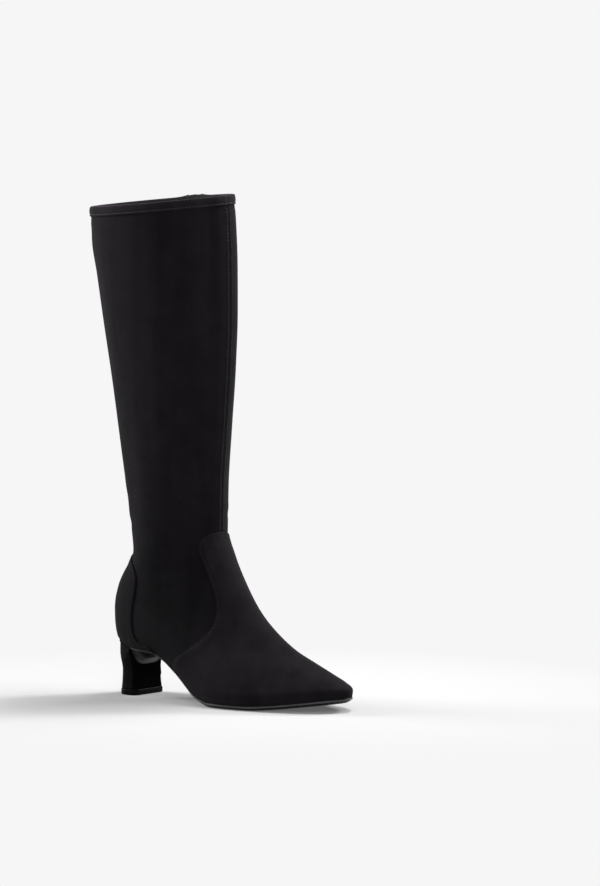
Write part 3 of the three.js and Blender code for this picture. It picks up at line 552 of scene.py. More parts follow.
class Finish:
    """A material with one Principled shader, built node by node."""

    def __init__(self, name, **shader):
        self.material = bpy.data.materials.new(name)
        self.material.use_nodes = True
        self.tree = self.material.node_tree
        self.tree.nodes.clear()
        self.shader = self.tree.nodes.new("ShaderNodeBsdfPrincipled")
        output = self.tree.nodes.new("ShaderNodeOutputMaterial")
        self.tree.links.new(self.shader.outputs[0], output.inputs["Surface"])
        for key, value in shader.items():
            self.shader.inputs[key.replace("_", " ").title().replace("Ior", "IOR")].default_value = value

    def node(self, kind, settings=None, inputs=None, output=0):
        made = self.tree.nodes.new(kind)
        for key, value in (settings or {}).items():
            setattr(made, key, value)
        for key, value in (inputs or {}).items():
            if isinstance(value, Value):
                self.tree.links.new(value.socket, made.inputs[key])
            else:
                made.inputs[key].default_value = value
        return Value(self, made.outputs[output])

    def place(self, scale=(1, 1, 1)):
        """Object coordinates in metres, scaled."""
        here = self.node("ShaderNodeTexCoord", output="Object")
        return self.node("ShaderNodeMapping", None, {"Vector": here, "Scale": scale})

    def noise(self, size, detail=2.0, scale=(1, 1, 1)):
        """Noise with patches of about a size in metres."""
        return self.node("ShaderNodeTexNoise", None, {
            "Vector": self.place(scale), "Scale": 1 / size, "Detail": detail, "Roughness": 0.55})

    def limits(self, value, low, high, start=0.0, end=1.0):
        return self.node("ShaderNodeMapRange", None, {
            "Value": value, "From Min": low, "From Max": high, "To Min": start, "To Max": end})

    def mixed(self, factor, first, second):
        first, second = (colour if isinstance(colour, Value) else (*colour, 1) for colour in (first, second))
        return self.node("ShaderNodeMix", {"data_type": "RGBA"}, {0: factor, 6: first, 7: second}, 2)

    def across(self, axis):
        """The place along X, Y or Z in metres."""
        return self.node("ShaderNodeSeparateXYZ", None, {0: self.place()}, axis)

    def into(self, name, value):
        self.tree.links.new(value.socket, self.shader.inputs[name])

    def colours(self, factor, colour, dark, light):
        """The base colour between two shares of a colour."""
        self.into("Base Color", self.mixed(factor, tone(colour, dark), tone(colour, light)))

    def bump(self, height, distance, strength):
        self.into("Normal", self.node("ShaderNodeBump", None, {
            "Height": height, "Distance": distance, "Strength": strength}))


def tone(colour, share):
    return tuple(channel * share for channel in colour)


def suede_finish(looks, name, lift=1.0, painted_foot_shade=0.0):
    """Short-napped microsuede: a fine nap, patches where it lies another way, and long soft streaks. Its
    lighter and darker copies are painted light and painted shade, and low on the boot it can be painted
    darker as painted shade.
    """
    # painted light and shade: lift multiplies the suede's colour into lighter and darker copies
    colour = tone(looks.suede_colour, lift)
    finish = Finish(name, roughness=0.86, specular_ior_level=0.08, sheen_weight=looks.suede_sheen,
                    sheen_roughness=0.38, sheen_tint=(0.82, 0.78, 0.84, 1))
    nap = finish.noise(looks.nap_size, 3)
    patches = finish.noise(0.018, 3)
    streaks = finish.noise(0.016, 2, (1, 1, 0.07))
    flecks = finish.noise(0.00032, 1)
    lie = finish.limits(patches * 0.35 + streaks * 0.45 + nap * 0.2, 0.36, 0.62)
    # painted shade: the base colour darkens towards black from 0.2 m down to 0.09 m above the floor
    painted_shade = finish.limits(finish.across("Z"), 0.2, 0.09, 0.0, painted_foot_shade)
    nap_colour = finish.mixed(lie, tone(colour, 0.7), tone(colour, 1.4))
    finish.into("Base Color", finish.mixed(painted_shade, nap_colour, (0, 0, 0)))
    finish.into("Roughness", finish.limits(nap, 0.3, 0.7, 0.78, 0.94))
    finish.bump(nap * 0.6 + flecks * 0.4, 0.00022, 0.7)
    return finish.material


def thread_finish(looks, name, share):
    finish = Finish(name, roughness=0.5, specular_ior_level=0.3, sheen_weight=0.05)
    twist = finish.node("ShaderNodeTexWave", {"bands_direction": "DIAGONAL"}, {
        "Vector": finish.place(), "Scale": 900, "Distortion": 1.5})
    finish.colours(twist, tone(looks.thread_colour, share), 0.6, 1.5)
    finish.bump(twist, 0.00008, 0.6)
    return finish.material


def rubber_finish(name, colour, roughness, grain, shine):
    """Moulded rubber with a fine grain and faint rubbing."""
    finish = Finish(name, roughness=roughness, specular_ior_level=shine)
    fine = finish.noise(grain, 2)
    rubbed = finish.limits(finish.noise(0.012, 4), 0.5, 0.75)
    finish.colours(rubbed, colour, 1, 1.7)
    both = fine * 0.5 + rubbed * 0.5
    finish.into("Roughness", finish.limits(both, 0.1, 0.9, roughness - 0.08, roughness + 0.12))
    finish.bump(fine, 0.00006, 0.5)
    return finish.material


def gloss_finish(looks):
    """Black heel breast. Over an arc, where it sweeps forward under the waist, it is lacquered, and its
    colour is painted four times lighter as a painted reflection.
    """
    finish = Finish("heel_gloss_painted_reflection", roughness=0.5, specular_ior_level=0.0, coat_roughness=0.34)
    ripple = finish.noise(0.02, 1)
    aside = (finish.across("Y") + MIDDLE[1] * MM) * (1 / (TIP_HALF_WIDTH * MM))
    arc = aside * aside * aside * aside * (COVE_SHARE * FLAP_RISE * MM)
    over = finish.across("Z") - FLAP_HEIGHT * MM - arc
    lacquer_and_reflection = finish.limits(over, -0.0004, 0.0004)
    # painted reflection: the base colour is four times lighter over the arc, where the coat is real gloss
    finish.colours(lacquer_and_reflection, looks.heel_colour, 1, 4)
    finish.into("Coat Weight", finish.limits(lacquer_and_reflection, 0, 1, 0, 0.8))
    finish.bump(ripple, 0.0002, 0.25)
    return finish.material


def metal_finish(looks):
    """Bright nickel plate, lightly rubbed."""
    finish = Finish("nickel_plate", metallic=1.0, roughness=0.2)
    rubbed = finish.noise(0.0012, 3)
    finish.colours(rubbed, looks.metal_colour, 0.8, 1)
    finish.into("Roughness", finish.limits(rubbed, 0.3, 0.75, 0.14, 0.34))
    finish.bump(rubbed, 0.00003, 0.4)
    return finish.material


def tape_finish(looks):
    """Woven zip tape: crossed bands of warp and weft."""
    finish = Finish("woven_tape", roughness=0.72, specular_ior_level=0.3, sheen_weight=0.15)
    lines = [finish.node("ShaderNodeTexWave", {"bands_direction": way}, {
        "Vector": finish.place(), "Scale": 480, "Distortion": 0.3}) for way in ("X", "Z")]
    weave = lines[0] * 0.5 + lines[1] * 0.5
    finish.colours(weave, looks.tape_colour, 0.5, 1.5)
    finish.bump(weave, 0.00012, 0.8)
    return finish.material


def coil_finish(looks):
    """Drawn nylon, slightly glossy, with paler patches at random."""
    finish = Finish("nylon_coil", roughness=0.34, specular_ior_level=0.5)
    worn = finish.noise(0.006, 3)
    finish.colours(worn, looks.coil_colour, 0.6, 1.7)
    finish.into("Roughness", finish.limits(worn, 0.3, 0.7, 0.26, 0.42))
    finish.bump(finish.noise(0.0002, 1), 0.00002, 0.5)
    return finish.material


def lining_finish(looks):
    """Brushed dark textile inside the boot."""
    finish = Finish("textile_lining", roughness=0.9, specular_ior_level=0.15, sheen_weight=0.25)
    fibres = finish.noise(0.0006, 3, (1, 1, 0.4))
    finish.colours(fibres * 0.5 + finish.noise(0.03, 3) * 0.5, looks.lining_colour, 0.6, 1.4)
    finish.bump(fibres, 0.0002, 0.6)
    return finish.material


def finish_of(name, make, *values):
    """A finish that several pieces share is made once."""
    return bpy.data.materials.get(name) or make(*values)


def suede(looks, name="microsuede", *values):
    return finish_of(name, suede_finish, looks, name, *values)


def lining(looks):
    return finish_of("textile_lining", lining_finish, looks)


def metal(looks):
    return finish_of("nickel_plate", metal_finish, looks)


def woven(looks):
    return finish_of("woven_tape", tape_finish, looks)


def overlay_height(distance, wobble=0.0, quilt=1.0):
    """Height of an overlay over the upper, at a distance in from its edge. The edge is round, and a
    stitched dip and a soft swell follow it."""
    rounded = np.sqrt(np.clip(1 - (1 - np.clip(distance / 1.5, 0, 1)) ** 2, 0, 1))
    dip = 0.4 * quilt * hump(distance, 2.5, 0.8)
    swell = 0.3 * quilt * hump(distance, 5.2, 2.2) * (1 + wobble)
    return EDGE_HEIGHT + (GAP + OVERLAY - EDGE_HEIGHT) * rounded - dip + swell


def edge_path(points, end_at_turn):
    """Turns and rings of an overlay's edge on the inner side, evenly spaced."""
    side = spline(np.array(points) * (LENGTH, INSTEP_HEIGHT), 600)
    turn, ring = locate(side[:, 0], side[:, 1])
    keep = (ring > 1e-3) & (np.abs(turn - end_at_turn) > 1e-3)
    first, last = np.argmax(keep), len(keep) - 1 - np.argmax(keep[::-1])
    turn, ring = turn[first:last + 1], ring[first:last + 1]
    return sampled(np.stack([turn, ring], axis=1), along_path(face_point(turn, ring), 1.1)).T


def nearest(places, line):
    """Distance from each place to the nearest point of a line, and that point's index."""
    flat = places.reshape(-1, 3)
    near, index = np.empty(len(flat)), np.empty(len(flat), int)
    for start in range(0, len(flat), 4000):
        part = flat[start:start + 4000]
        apart = np.linalg.norm(part[:, None] - line[None], axis=2)
        index[start:start + 4000] = apart.argmin(axis=1)
        near[start:start + 4000] = apart.min(axis=1)
    return near.reshape(places.shape[:-1]), index.reshape(places.shape[:-1])


def overlay_patch(turns, rings, edge, quilt=1.0):
    """Places of an overlay from its turns and rings, raised by their distance from its edge."""
    face = face_point(turns, rings)
    distance, index = nearest(face, edge)
    pucker = 0.5 * np.sin(index * 0.93) + 0.5 * np.sin(index * 0.41 + 1)
    low = np.clip(1 - (face[..., 2] - feather(face[..., 0])) / TUCK_HEIGHT, 0, 1)
    tuck = VAMP_TUCK * low ** 2 * ease(face[..., 0], TIP_START, LENGTH)
    out = overlay_height(distance, pucker, quilt) - tuck
    places = face + face_normal(turns, rings) * out[..., None]
    places[..., 2] = np.maximum(places[..., 2], feather(places[..., 0]) + 0.1)
    return places


def vamp_edge():
    turn, ring = edge_path(VAMP_EDGE, 0.5)
    turn, ring = np.append(turn, 0.5), np.append(ring, ring[-1] + 0.01)
    return np.concatenate([1 - turn, turn[-2::-1]]), np.concatenate([ring, ring[-2::-1]])


def counter_edge():
    return edge_path(COUNTER_EDGE, 0.0)


def stitch_row(places, outs, looks):
    """Frames for stitches along a path in mm: place, way along, way out."""
    at = along_path(places, looks.stitch_pitch / MM)[:-1]
    middle, out = sampled(places, at), sampled(outs, at)
    way = unit(np.gradient(middle, axis=0))
    out -= way * (out * way).sum(axis=1, keepdims=True)
    return np.stack([middle, way, unit(out)], axis=1)


def scattered(frames, base, faces):
    """One mesh with a copy of a small shape at each frame. The shape's x runs along, its z out."""
    middle, way, out = frames[:, 0], frames[:, 1], frames[:, 2]
    across = np.cross(out, way)
    turned = (base[None, :, 0:1] * way[:, None] + base[None, :, 1:2] * across[:, None]
              + base[None, :, 2:3] * out[:, None])
    places = ((middle[:, None] + turned) - MIDDLE) * MM
    count = len(base)
    joined = [[corner + count * copy for corner in face] for copy in range(len(frames)) for face in faces]
    mesh = bpy.data.meshes.new("piece")
    mesh.from_pydata(places.reshape(-1, 3).tolist(), [], joined)
    mesh.update()
    return mesh


def small_shape(make):
    """Corners in mm and faces of a small shape that is built by a bmesh."""
    work = bmesh.new()
    make(work)
    bmesh.ops.recalc_face_normals(work, faces=work.faces)
    work.verts.index_update()
    corners = np.array([vertex.co[:] for vertex in work.verts])
    faces = [[vertex.index for vertex in face.verts] for face in work.faces]
    work.free()
    return corners, faces


def stitch_shape(looks):
    def make(work):
        bmesh.ops.create_uvsphere(work, u_segments=8, v_segments=5, radius=1,
                                  matrix=Matrix.Rotation(math.pi / 2, 4, "Y"))
        length, width = looks.stitch_length / MM, looks.thread_width / MM
        bmesh.ops.scale(work, verts=work.verts, vec=(length / 2, width / 2, width / 2.4))
    return small_shape(make)


def tooth_shape():
    """One turn of the coil: a short bar across the chain with a round back."""
    def make(work):
        bmesh.ops.create_cube(work, size=1)
        bmesh.ops.scale(work, verts=work.verts, vec=(0.92, 2.5, 1.25))
        bmesh.ops.bevel(work, geom=work.edges, offset=0.3, segments=2, profile=0.5, affect="EDGES",
                        material=-1)
    return small_shape(make)


def sole_edge(turn, out):
    """A place of the sole's outline, moved out from the foot of the upper."""
    step = 0.0125
    edge = face_point(turn, 0)
    run = face_point(turn - step, 0) - face_point(turn + step, 0)
    away = unit(np.stack([run[..., 1], -run[..., 0], 0 * run[..., 2]], axis=-1))
    return edge + away * np.asarray(out)[..., None]


def full_sole(x):
    return ease(x, BREAST_LINE, 0.5 * LENGTH)


def sole_rows(rows, around):
    """Places of a form in the sole's outline. A row gives its spread, and its reach out and its depth as
    functions of x."""
    turn = np.arange(around + 1) / around
    foot_x = face_point(turn, 0)[:, 0]
    result = []
    for spread, out, depth in rows:
        edge = sole_edge(turn, out(foot_x))
        mate = edge[::-1]
        place = lerp((edge + mate) / 2, edge, spread)
        ends = [0, around // 2, around]
        place[ends] = edge[ends]
        place[:, 2] = feather(place[:, 0]) - depth(place[:, 0])
        result.append(place)
    return np.array(result)


def sole_row(spread, back, drawn_in, share):
    """One row for sole_rows. The lip fades under the heel, and the toe's tip is drawn in a little."""
    def out(x):
        under_heel, lip = 1 - full_sole(x), (SOLE_LIP - drawn_in) * full_sole(x)
        return GAP + OVERLAY - back - under_heel + lip - SOLE_TUCK * ease(x, TIP_START, LENGTH)

    def depth(x):
        return GAP + share * lerp(SEAT_THICKNESS, SOLE_THICKNESS, full_sole(x))
    return spread, out, depth


class BootLooks(bpy.types.PropertyGroup):
    suede_colour: FloatVectorProperty(name="Suede colour", description="Colour of the microsuede",
                                      default=(0.0140, 0.0118, 0.0144), subtype="COLOR", min=0, max=1)
    suede_sheen: FloatProperty(name="Suede sheen", description="How light the nap looks at the outline",
                               default=0.035, min=0, max=1, subtype="FACTOR")
    nap_size: FloatProperty(name="Nap size", description="Size of the patches in the nap",
                            default=0.0011, unit="LENGTH", subtype="DISTANCE")
    thread_colour: FloatVectorProperty(name="Thread colour", description="Colour of the stitches",
                                       default=(0.009, 0.008, 0.0095), subtype="COLOR", min=0, max=1)
    stitch_length: FloatProperty(name="Stitch length", description="Length of one stitch",
                                 default=0.0023, unit="LENGTH", subtype="DISTANCE")
    stitch_pitch: FloatProperty(name="Stitch pitch", description="From one stitch to the next",
                                default=0.003, unit="LENGTH", subtype="DISTANCE")
    thread_width: FloatProperty(name="Thread width", description="Width of the thread",
                                default=0.00045, unit="LENGTH", subtype="DISTANCE")
    seam_depth: FloatProperty(name="Seam depth", description="Depth of the shaft's seams",
                              default=0.00036, unit="LENGTH", subtype="DISTANCE")
    sole_colour: FloatVectorProperty(name="Sole colour", description="Colour of the sole",
                                     default=(0.006, 0.006, 0.0064), subtype="COLOR", min=0, max=1)
    # painted highlight: the lip's lighter colour stands for light on its rounded top
    lip_highlight_colour: FloatVectorProperty(name="Lip colour", description="Colour of the sole's upper lip",
                                    default=(0.05, 0.05, 0.053), subtype="COLOR", min=0, max=1)
    heel_colour: FloatVectorProperty(name="Heel colour", description="Colour of the heel's breast",
                                     default=(0.004, 0.004, 0.0045), subtype="COLOR", min=0, max=1)
    metal_colour: FloatVectorProperty(name="Metal colour", description="Colour of slider and stops",
                                      default=(0.66, 0.67, 0.69), subtype="COLOR", min=0, max=1)
    tape_colour: FloatVectorProperty(name="Tape colour", description="Colour of the zip tape",
                                     default=(0.01, 0.01, 0.011), subtype="COLOR", min=0, max=1)
    coil_colour: FloatVectorProperty(name="Coil colour", description="Colour of the zip's coil",
                                     default=(0.05, 0.05, 0.054), subtype="COLOR", min=0, max=1)
    lining_colour: FloatVectorProperty(name="Lining colour", description="Colour of the lining",
                                       default=(0.04, 0.037, 0.038), subtype="COLOR", min=0, max=1)
    floor_tone: FloatProperty(name="Floor tone", description="How light floor and background are",
                              default=0.922, min=0, max=1, subtype="FACTOR")


class BOOT_OT_upper(bpy.types.Operator):
    """Makes the hollow suede upper, slit for the zip"""

    bl_idname = "boot.upper"
    bl_label = "Upper"

    def execute(self, context):
        looks = context.scene.boot_looks
        rings = tooled_rings(0, LAST_RING, 2.2, 2.7)[:, None]
        near = (0, 0.5, 1.0, 1.6, 2.3, 3.2, 4.3, 5.6)
        first, last = zip_turn(rings) + half_slot(rings), 1 + zip_turn(rings) - half_slot(rings)
        parts = []
        for start, end, length in ((first, 0.5, 75), (0.5, 1.0, 155), (1.0, last, 80)):
            shares = from_ends(length, near, 3.0)[None]
            part = lerp(start, end, shares[:, 0 if not parts else 1:])
            parts.append(np.broadcast_to(part, (len(rings), part.shape[1])))
        turns = np.concatenate(parts, axis=1)
        places = suede_point(turns, rings, 0, looks)
        low = feather(places[..., 0]) + 0.1
        places[..., 2] = np.maximum(places[..., 2], np.where(rings < 2, low, -1e3))
        # The shaft's suede takes painted shade, darker towards the foot.
        piece = new_piece("suede_upper", grid_mesh(places), ["upper"],
                          finishes=[suede(looks, "shaft_suede", 1.0, 0.4), lining(looks)])
        thicken(piece, WALL, 0.35)
        piece.modifiers["thickness"].material_offset = 1
        return {"FINISHED"}


class BOOT_OT_overlays(bpy.types.Operator):
    """Makes the vamp and the counter"""

    bl_idname = "boot.overlays"
    bl_label = "Vamp and counter"

    def execute(self, context):
        looks = context.scene.boot_looks
        near = np.array((0, 0.25, 0.5, 0.8, 1.2, 1.7, 2.2, 2.7, 3.3, 4.1, 5.1, 6.4, 8.2))
        turn, ring = vamp_edge()
        edge = face_point(turn, ring)
        span = np.maximum(1.0, edge[:, 2] - feather(edge[:, 0]))
        shares = []
        for height in span:
            fine = near[near < 0.6 * height]
            rest = np.linspace(fine[-1], height, 48 - len(fine))[1:]
            shares.append(np.concatenate([fine, rest]) / height)
        shares = np.array(shares).T
        at = np.arange(len(turn))
        landing = np.interp(at, (0, (len(turn) - 1) / 2, len(turn) - 1), (turn[0], 0.5, turn[-1]))
        places = overlay_patch(lerp(turn, landing, shares), ring * (1 - shares), edge, VAMP_QUILT)
        vamp = new_piece("suede_vamp", grid_mesh(places), ["vamp"], finishes=[suede(looks)])
        turn, ring = counter_edge()
        edge = np.concatenate([face_point(turn, ring), face_point(-turn, ring)])
        shares = from_ends(100, near, 2.2)[None]
        turns = lerp(-turn[:, None], turn[:, None], shares)
        places = overlay_patch(turns, np.broadcast_to(ring[:, None], turns.shape), edge, COUNTER_QUILT)
        # The counter takes a darker copy of the suede as painted shade.
        counter = new_piece("suede_counter", grid_mesh(places), ["counter"],
                            finishes=[suede(looks, "counter_suede", 0.62)])
        for piece in (vamp, counter):
            thicken(piece, 1.0, 0.15)
        return {"FINISHED"}


class BOOT_OT_collar(bpy.types.Operator):
    """Makes the folded hem round the collar"""

    bl_idname = "boot.collar"
    bl_label = "Collar hem"

    def execute(self, context):
        looks = context.scene.boot_looks
        opening = HEM_OPENING / 2 / speed(zip_turn(LAST_RING), LAST_RING)
        start = zip_turn(LAST_RING) + opening
        turns = np.linspace(start, start + 1 - 2 * opening, 190)[None]
        down, out, up = (values[:, None] for values in HEM_ROWS.T)
        rings = LAST_RING - down / COLLAR_RING_HEIGHT
        wobble = 0.12 * np.sin(turns * 97) * hump(down, 3.5, 2) * (out > 0)
        turns, rings = np.broadcast_arrays(turns, rings)
        places = suede_point(turns, rings, out + wobble, looks)
        places[..., 2] += up
        # painted light: the fold over the rim and inside takes a much lighter copy of the suede
        marks = np.zeros((len(HEM_ROWS), turns.shape[1] - 1), int)
        marks[HEM_FOLD:] = 1
        mesh = grid_mesh(np.concatenate([places, places[:1]]), closed=True, marks=marks)
        work = bmesh.new()
        work.from_mesh(mesh)
        bmesh.ops.holes_fill(work, edges=[edge for edge in work.edges if edge.is_boundary])
        bmesh.ops.recalc_face_normals(work, faces=work.faces)
        work.to_mesh(mesh)
        work.free()
        # The hem takes a lighter copy of the suede as a painted highlight, and its fold over the rim a much
        # lighter one as painted light.
        finishes = [suede(looks, "hem_suede", 1.6), suede(looks, "folded_suede", 4.0)]
        new_piece("collar_hem", mesh, ["collar_band"], finishes=finishes)
        return {"FINISHED"}


class BOOT_OT_sole(bpy.types.Operator):
    """Makes the outsole with its lip and bevel"""

    bl_idname = "boot.sole"
    bl_label = "Outsole"

    def execute(self, context):
        looks = context.scene.boot_looks
        around = 260
        rows = [sole_row(spread, 0.5, 0.3, 0) for spread in (0, 0.35, 0.7)]
        rows += [sole_row(1, *values) for values in SOLE_SIDE_ROWS]
        rows += [sole_row(spread, 0.55, 4.4, 1) for spread in (0.85, 0.6, 0.3, 0)]
        places = sole_rows(rows, around)
        marks = np.zeros((len(rows) - 1, around), int)
        # painted highlight: the lip's rows take the lighter rubber
        marks[PAINTED_LIP_ROWS] = 1
        # painted shade: behind the seat line the sole's edge takes a darker copy of the suede
        marks[places[:-1, 1:, 0] < SEAT_LINE] = 2
        mesh = grid_mesh(places, closed=True, marks=marks)
        finishes = [rubber_finish("moulded_rubber", tuple(looks.sole_colour), 0.5, 0.0007, 0.12),
                    rubber_finish("lip_rubber_painted_highlight", tuple(looks.lip_highlight_colour), 0.36, 0.0007, 0.5),
                    suede(looks, "heel_suede", 0.28)]
        new_piece("moulded_sole", mesh, ["outsole"], finishes=finishes)
        return {"FINISHED"}


def heel_power(angle):
    """The power that shapes the heel's ring: round behind, nearly square at the breast."""
    return 2 / np.where(np.cos(angle) < 0, HEEL_ROUND, BREAST_SQUARE)


def heel_along(angle, back, front):
    """Places along the boot round a ring of the heel."""
    toward = np.cos(angle)
    split = lerp(back, front, 0.55)
    reach = np.where(toward < 0, split - back, front - split)
    return split + np.sign(toward) * np.abs(toward) ** heel_power(angle) * reach


def heel_across(angle, half):
    """Places across the boot round a ring of the heel."""
    sine = np.sin(angle)
    return np.sign(sine) * np.abs(sine) ** heel_power(angle) * half


def breast_profile():
    """Places of the breast in the side view, from the lift up and forward along the flap."""
    low = LIFT_THICKNESS + GAP
    flap_end = float(feather(BREAST_LINE)) - 2 * GAP - SEAT_THICKNESS - 1
    t = np.linspace(0, 1, 24)[:, None]

    def bend(a, b, c):
        return (1 - t) ** 2 * np.array(a) + 2 * t * (1 - t) * np.array(b) + t ** 2 * np.array(c)

    stem = bend((TIP_FRONT, low), (TIP_FRONT - 2 * BREAST_HOLLOW, 0.5 * FLAP_HEIGHT),
                (TIP_FRONT - BREAST_HOLLOW, FLAP_HEIGHT))
    flap = bend((TIP_FRONT - BREAST_HOLLOW, FLAP_HEIGHT), (TIP_FRONT + 1, flap_end - 2),
                (BREAST_LINE + 1, flap_end))
    return np.concatenate([stem, flap[1:]])


def heel_places(angle):
    """Rings of the heel from the lift up to the seat, with a middle point below and above them."""
    profile = breast_profile()
    low, seat_half = LIFT_THICKNESS + GAP, FOOT_ROWS[0][4] * HALF_BALL + GAP + OVERLAY
    levels, widths, backs = HEEL_ROWS.T
    outline = sole_edge(np.linspace(0, 0.3, 200), np.full(200, GAP + OVERLAY - 0.3))
    top_at = float(feather(BREAST_LINE)) - 2 * GAP - SEAT_THICKNESS
    edge_share = 0.012
    shares = np.concatenate([
        [0, 0.004, edge_share], (profile[1:, 1] - low) / (top_at - low), [0.985, 1.0]])
    places = []
    for share in shares:
        x = heel_along(angle, TIP_BACK, TIP_FRONT)
        for _ in range(6):
            seat = np.minimum(feather(x), HEEL_HEIGHT) - 2 * GAP - SEAT_THICKNESS
            z = lerp(low, seat, share)
            level = (z - low) / (HEEL_HEIGHT - low)
            half = lerp(TIP_HALF_WIDTH, seat_half, smooth(levels, widths, level))
            room = np.interp(x, outline[:, 0], np.abs(outline[:, 1]))
            y = np.clip(heel_across(angle, half), -room, room)
            near_breast = 1 - ease(x, TIP_FRONT, BREAST_LINE)
            lift = FLAP_RISE * (y / TIP_HALF_WIDTH) ** 2 * near_breast * (z > 0.6 * FLAP_HEIGHT)
            front = np.interp(z - lift, profile[:, 1], profile[:, 0])
            back = np.maximum(TIP_BACK + TIP_BACK * smooth(levels, backs, level), outline[:, 0].min())
            x = heel_along(angle, back, np.maximum(front, back + 4))
        pull = 1 - 0.4 * max(0, 1 - share / edge_share) / TIP_HALF_WIDTH
        places.append(np.stack([TIP_MIDDLE + (x - TIP_MIDDLE) * pull, y * pull, z], axis=1))
    below, above = (np.tile(places[end].mean(axis=0), (len(angle), 1)) for end in (0, -1))
    places = np.array([below, *places, above])
    places[..., 1] += middle_line(places[..., 0])
    return places


def lift_places(angle):
    """Rings of the top lift from its middle underneath, round the rim, to its middle on top."""
    top = LIFT_THICKNESS
    rings = [np.tile((TIP_MIDDLE, 0.0, 0.0), (len(angle), 1))]
    for z, inset in ((0, 1.0), (0.12, 0.45), (0.45, 0.12), (1.0, 0), (top - 1.0, 0), (top - 0.45, 0.1),
                     (top - 0.1, 0.4), (top, 0.9)):
        x = heel_along(angle, TIP_BACK - LIFT_RIM + inset, TIP_FRONT + LIFT_RIM - inset)
        y = heel_across(angle, TIP_HALF_WIDTH + LIFT_RIM - inset)
        rings.append(np.stack([x, y, np.full_like(x, z)], axis=1))
    rings.append(np.tile((TIP_MIDDLE, 0.0, top), (len(angle), 1)))
    return np.array(rings)


class BOOT_OT_heel(bpy.types.Operator):
    """Makes the heel with its glossy breast, and the top lift"""

    bl_idname = "boot.heel"
    bl_label = "Heel and top lift"

    def execute(self, context):
        looks = context.scene.boot_looks
        angle = np.linspace(0, 2 * np.pi, 145)
        places = heel_places(angle)
        between = (angle[1:] + angle[:-1]) / 2
        side = np.abs(np.sin(between)) ** (2 / BREAST_SQUARE)
        marks = np.zeros((len(places) - 1, len(between)), int)
        marks[:, (np.cos(between) > 0) & (side < BREAST_SIDE)] = 1
        # The heel's sides take a darker copy of the suede as painted shade.
        new_piece("wrapped_heel", grid_mesh(places, closed=True, marks=marks), ["heel_block"],
                  finishes=[suede(looks, "heel_suede", 0.28), gloss_finish(looks)])
        mesh = grid_mesh(lift_places(angle), closed=True)
        finish = rubber_finish("lift_rubber", tone(looks.sole_colour, 0.6), 0.42, 0.0005, 0.05)
        new_piece("rubber_lift", mesh, ["top_lift"], finishes=[finish])
        return {"FINISHED"}


def tooth_frames():
    """Frames of the coil's turns: two rows, half a pitch apart, that part over the slider."""
    frames = []
    centre = face_point(ZIP_TURN, ZIP_RING)
    slider_low = RIM_AT_ZIP - SLIDER_DROP - SLIDER_HEIGHT / 2
    for side in (-1, 1):
        at = along_path(centre, COIL_PITCH)
        if side > 0:
            at = at[:-1] + np.diff(at) / 2
        turn, ring = sampled(np.stack([ZIP_TURN, ZIP_RING], axis=1), at).T
        way = unit(sampled(np.gradient(centre, axis=0), at))
        middle, out = face_point(turn, ring), face_normal(turn, ring)
        height = middle[:, 2]
        across = np.cross(out, way)
        spread = 1.15 + 2.4 * ease(height, RIM_AT_ZIP - SLIDER_DROP - 1, RIM_AT_ZIP)
        shown = (height > ZIP_END_HEIGHT + STOP_HEIGHT + 1.2) & (height < RIM_AT_ZIP - 2.2)
        shown &= (height < slider_low + 1.2) | (height > slider_low + SLIDER_HEIGHT + 0.6)
        middle = middle - 0.85 * out + across * (side * spread)[:, None]
        frames.append(np.stack([middle, unit(way + across * side * 0.16), out], axis=1)[shown])
    return np.concatenate(frames)


def rounded_node(node, width):
    """A copy of a node's solid with its sharp edges rounded by a width in mm."""
    work = bmesh.new()
    work.from_mesh(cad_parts[node].data)
    bmesh.ops.remove_doubles(work, verts=work.verts, dist=1e-6)
    bmesh.ops.dissolve_limit(work, angle_limit=math.radians(2), verts=work.verts, edges=work.edges)
    sharp = [edge for edge in work.edges
             if edge.is_manifold and edge.calc_face_angle() > math.radians(40)]
    bmesh.ops.bevel(work, geom=sharp, offset=width * MM, segments=3, profile=0.5, affect="EDGES",
                    material=-1, clamp_overlap=True)
    return mesh_of(work)


class BOOT_OT_zip(bpy.types.Operator):
    """Makes the zip's tape and coil and rounds its slider, pull and stops"""

    bl_idname = "boot.zip"
    bl_label = "Zip"

    def execute(self, context):
        looks = context.scene.boot_looks
        rings = tooled_rings(float(ZIP_RING[0]) - 0.3, LAST_RING - 0.01, 2.5, 3.5)[:, None]
        half = (2, 4, 6, 8, TAPE_HALF_WIDTH - 0.4, TAPE_HALF_WIDTH)
        across = np.array((*(-place for place in reversed(half)), 0, *half))[None]
        turns = by_zip(across, rings)
        places = face_point(turns, rings) - (WALL + GAP) * face_normal(turns, rings)
        places[..., 2] += rim_peak(across, rings)
        tape = new_piece("woven_zip_tape", grid_mesh(places), ["zip_tape"],
                         finishes=[woven(looks)])
        thicken(tape, TAPE_THICKNESS, 0.15)
        new_piece("nylon_teeth", scattered(tooth_frames(), *tooth_shape()), ["zip_chain"],
                  finishes=[coil_finish(looks)])
        for name, node, width, body, slot, finish in (
                ("slider_body", "zip_slider", 0.22, "boot", "zip_metal", metal),
                ("pull_loop", "zip_pull_ring", 0.3, "pull", "zip_metal", metal),
                ("pull_strap", "zip_pull_tab", 0.25, "pull", "zip_cloth", woven),
                ("front_stop", "zip_stop_front", 0.18, "boot", "zip_metal", metal),
                ("back_stop", "zip_stop_back", 0.18, "boot", "zip_metal", metal),
                ("low_stop", "zip_bottom_stop", 0.2, "boot", "zip_metal", metal)):
            new_piece(name, rounded_node(node, width), [node], body, [finish(looks)])
        return {"FINISHED"}


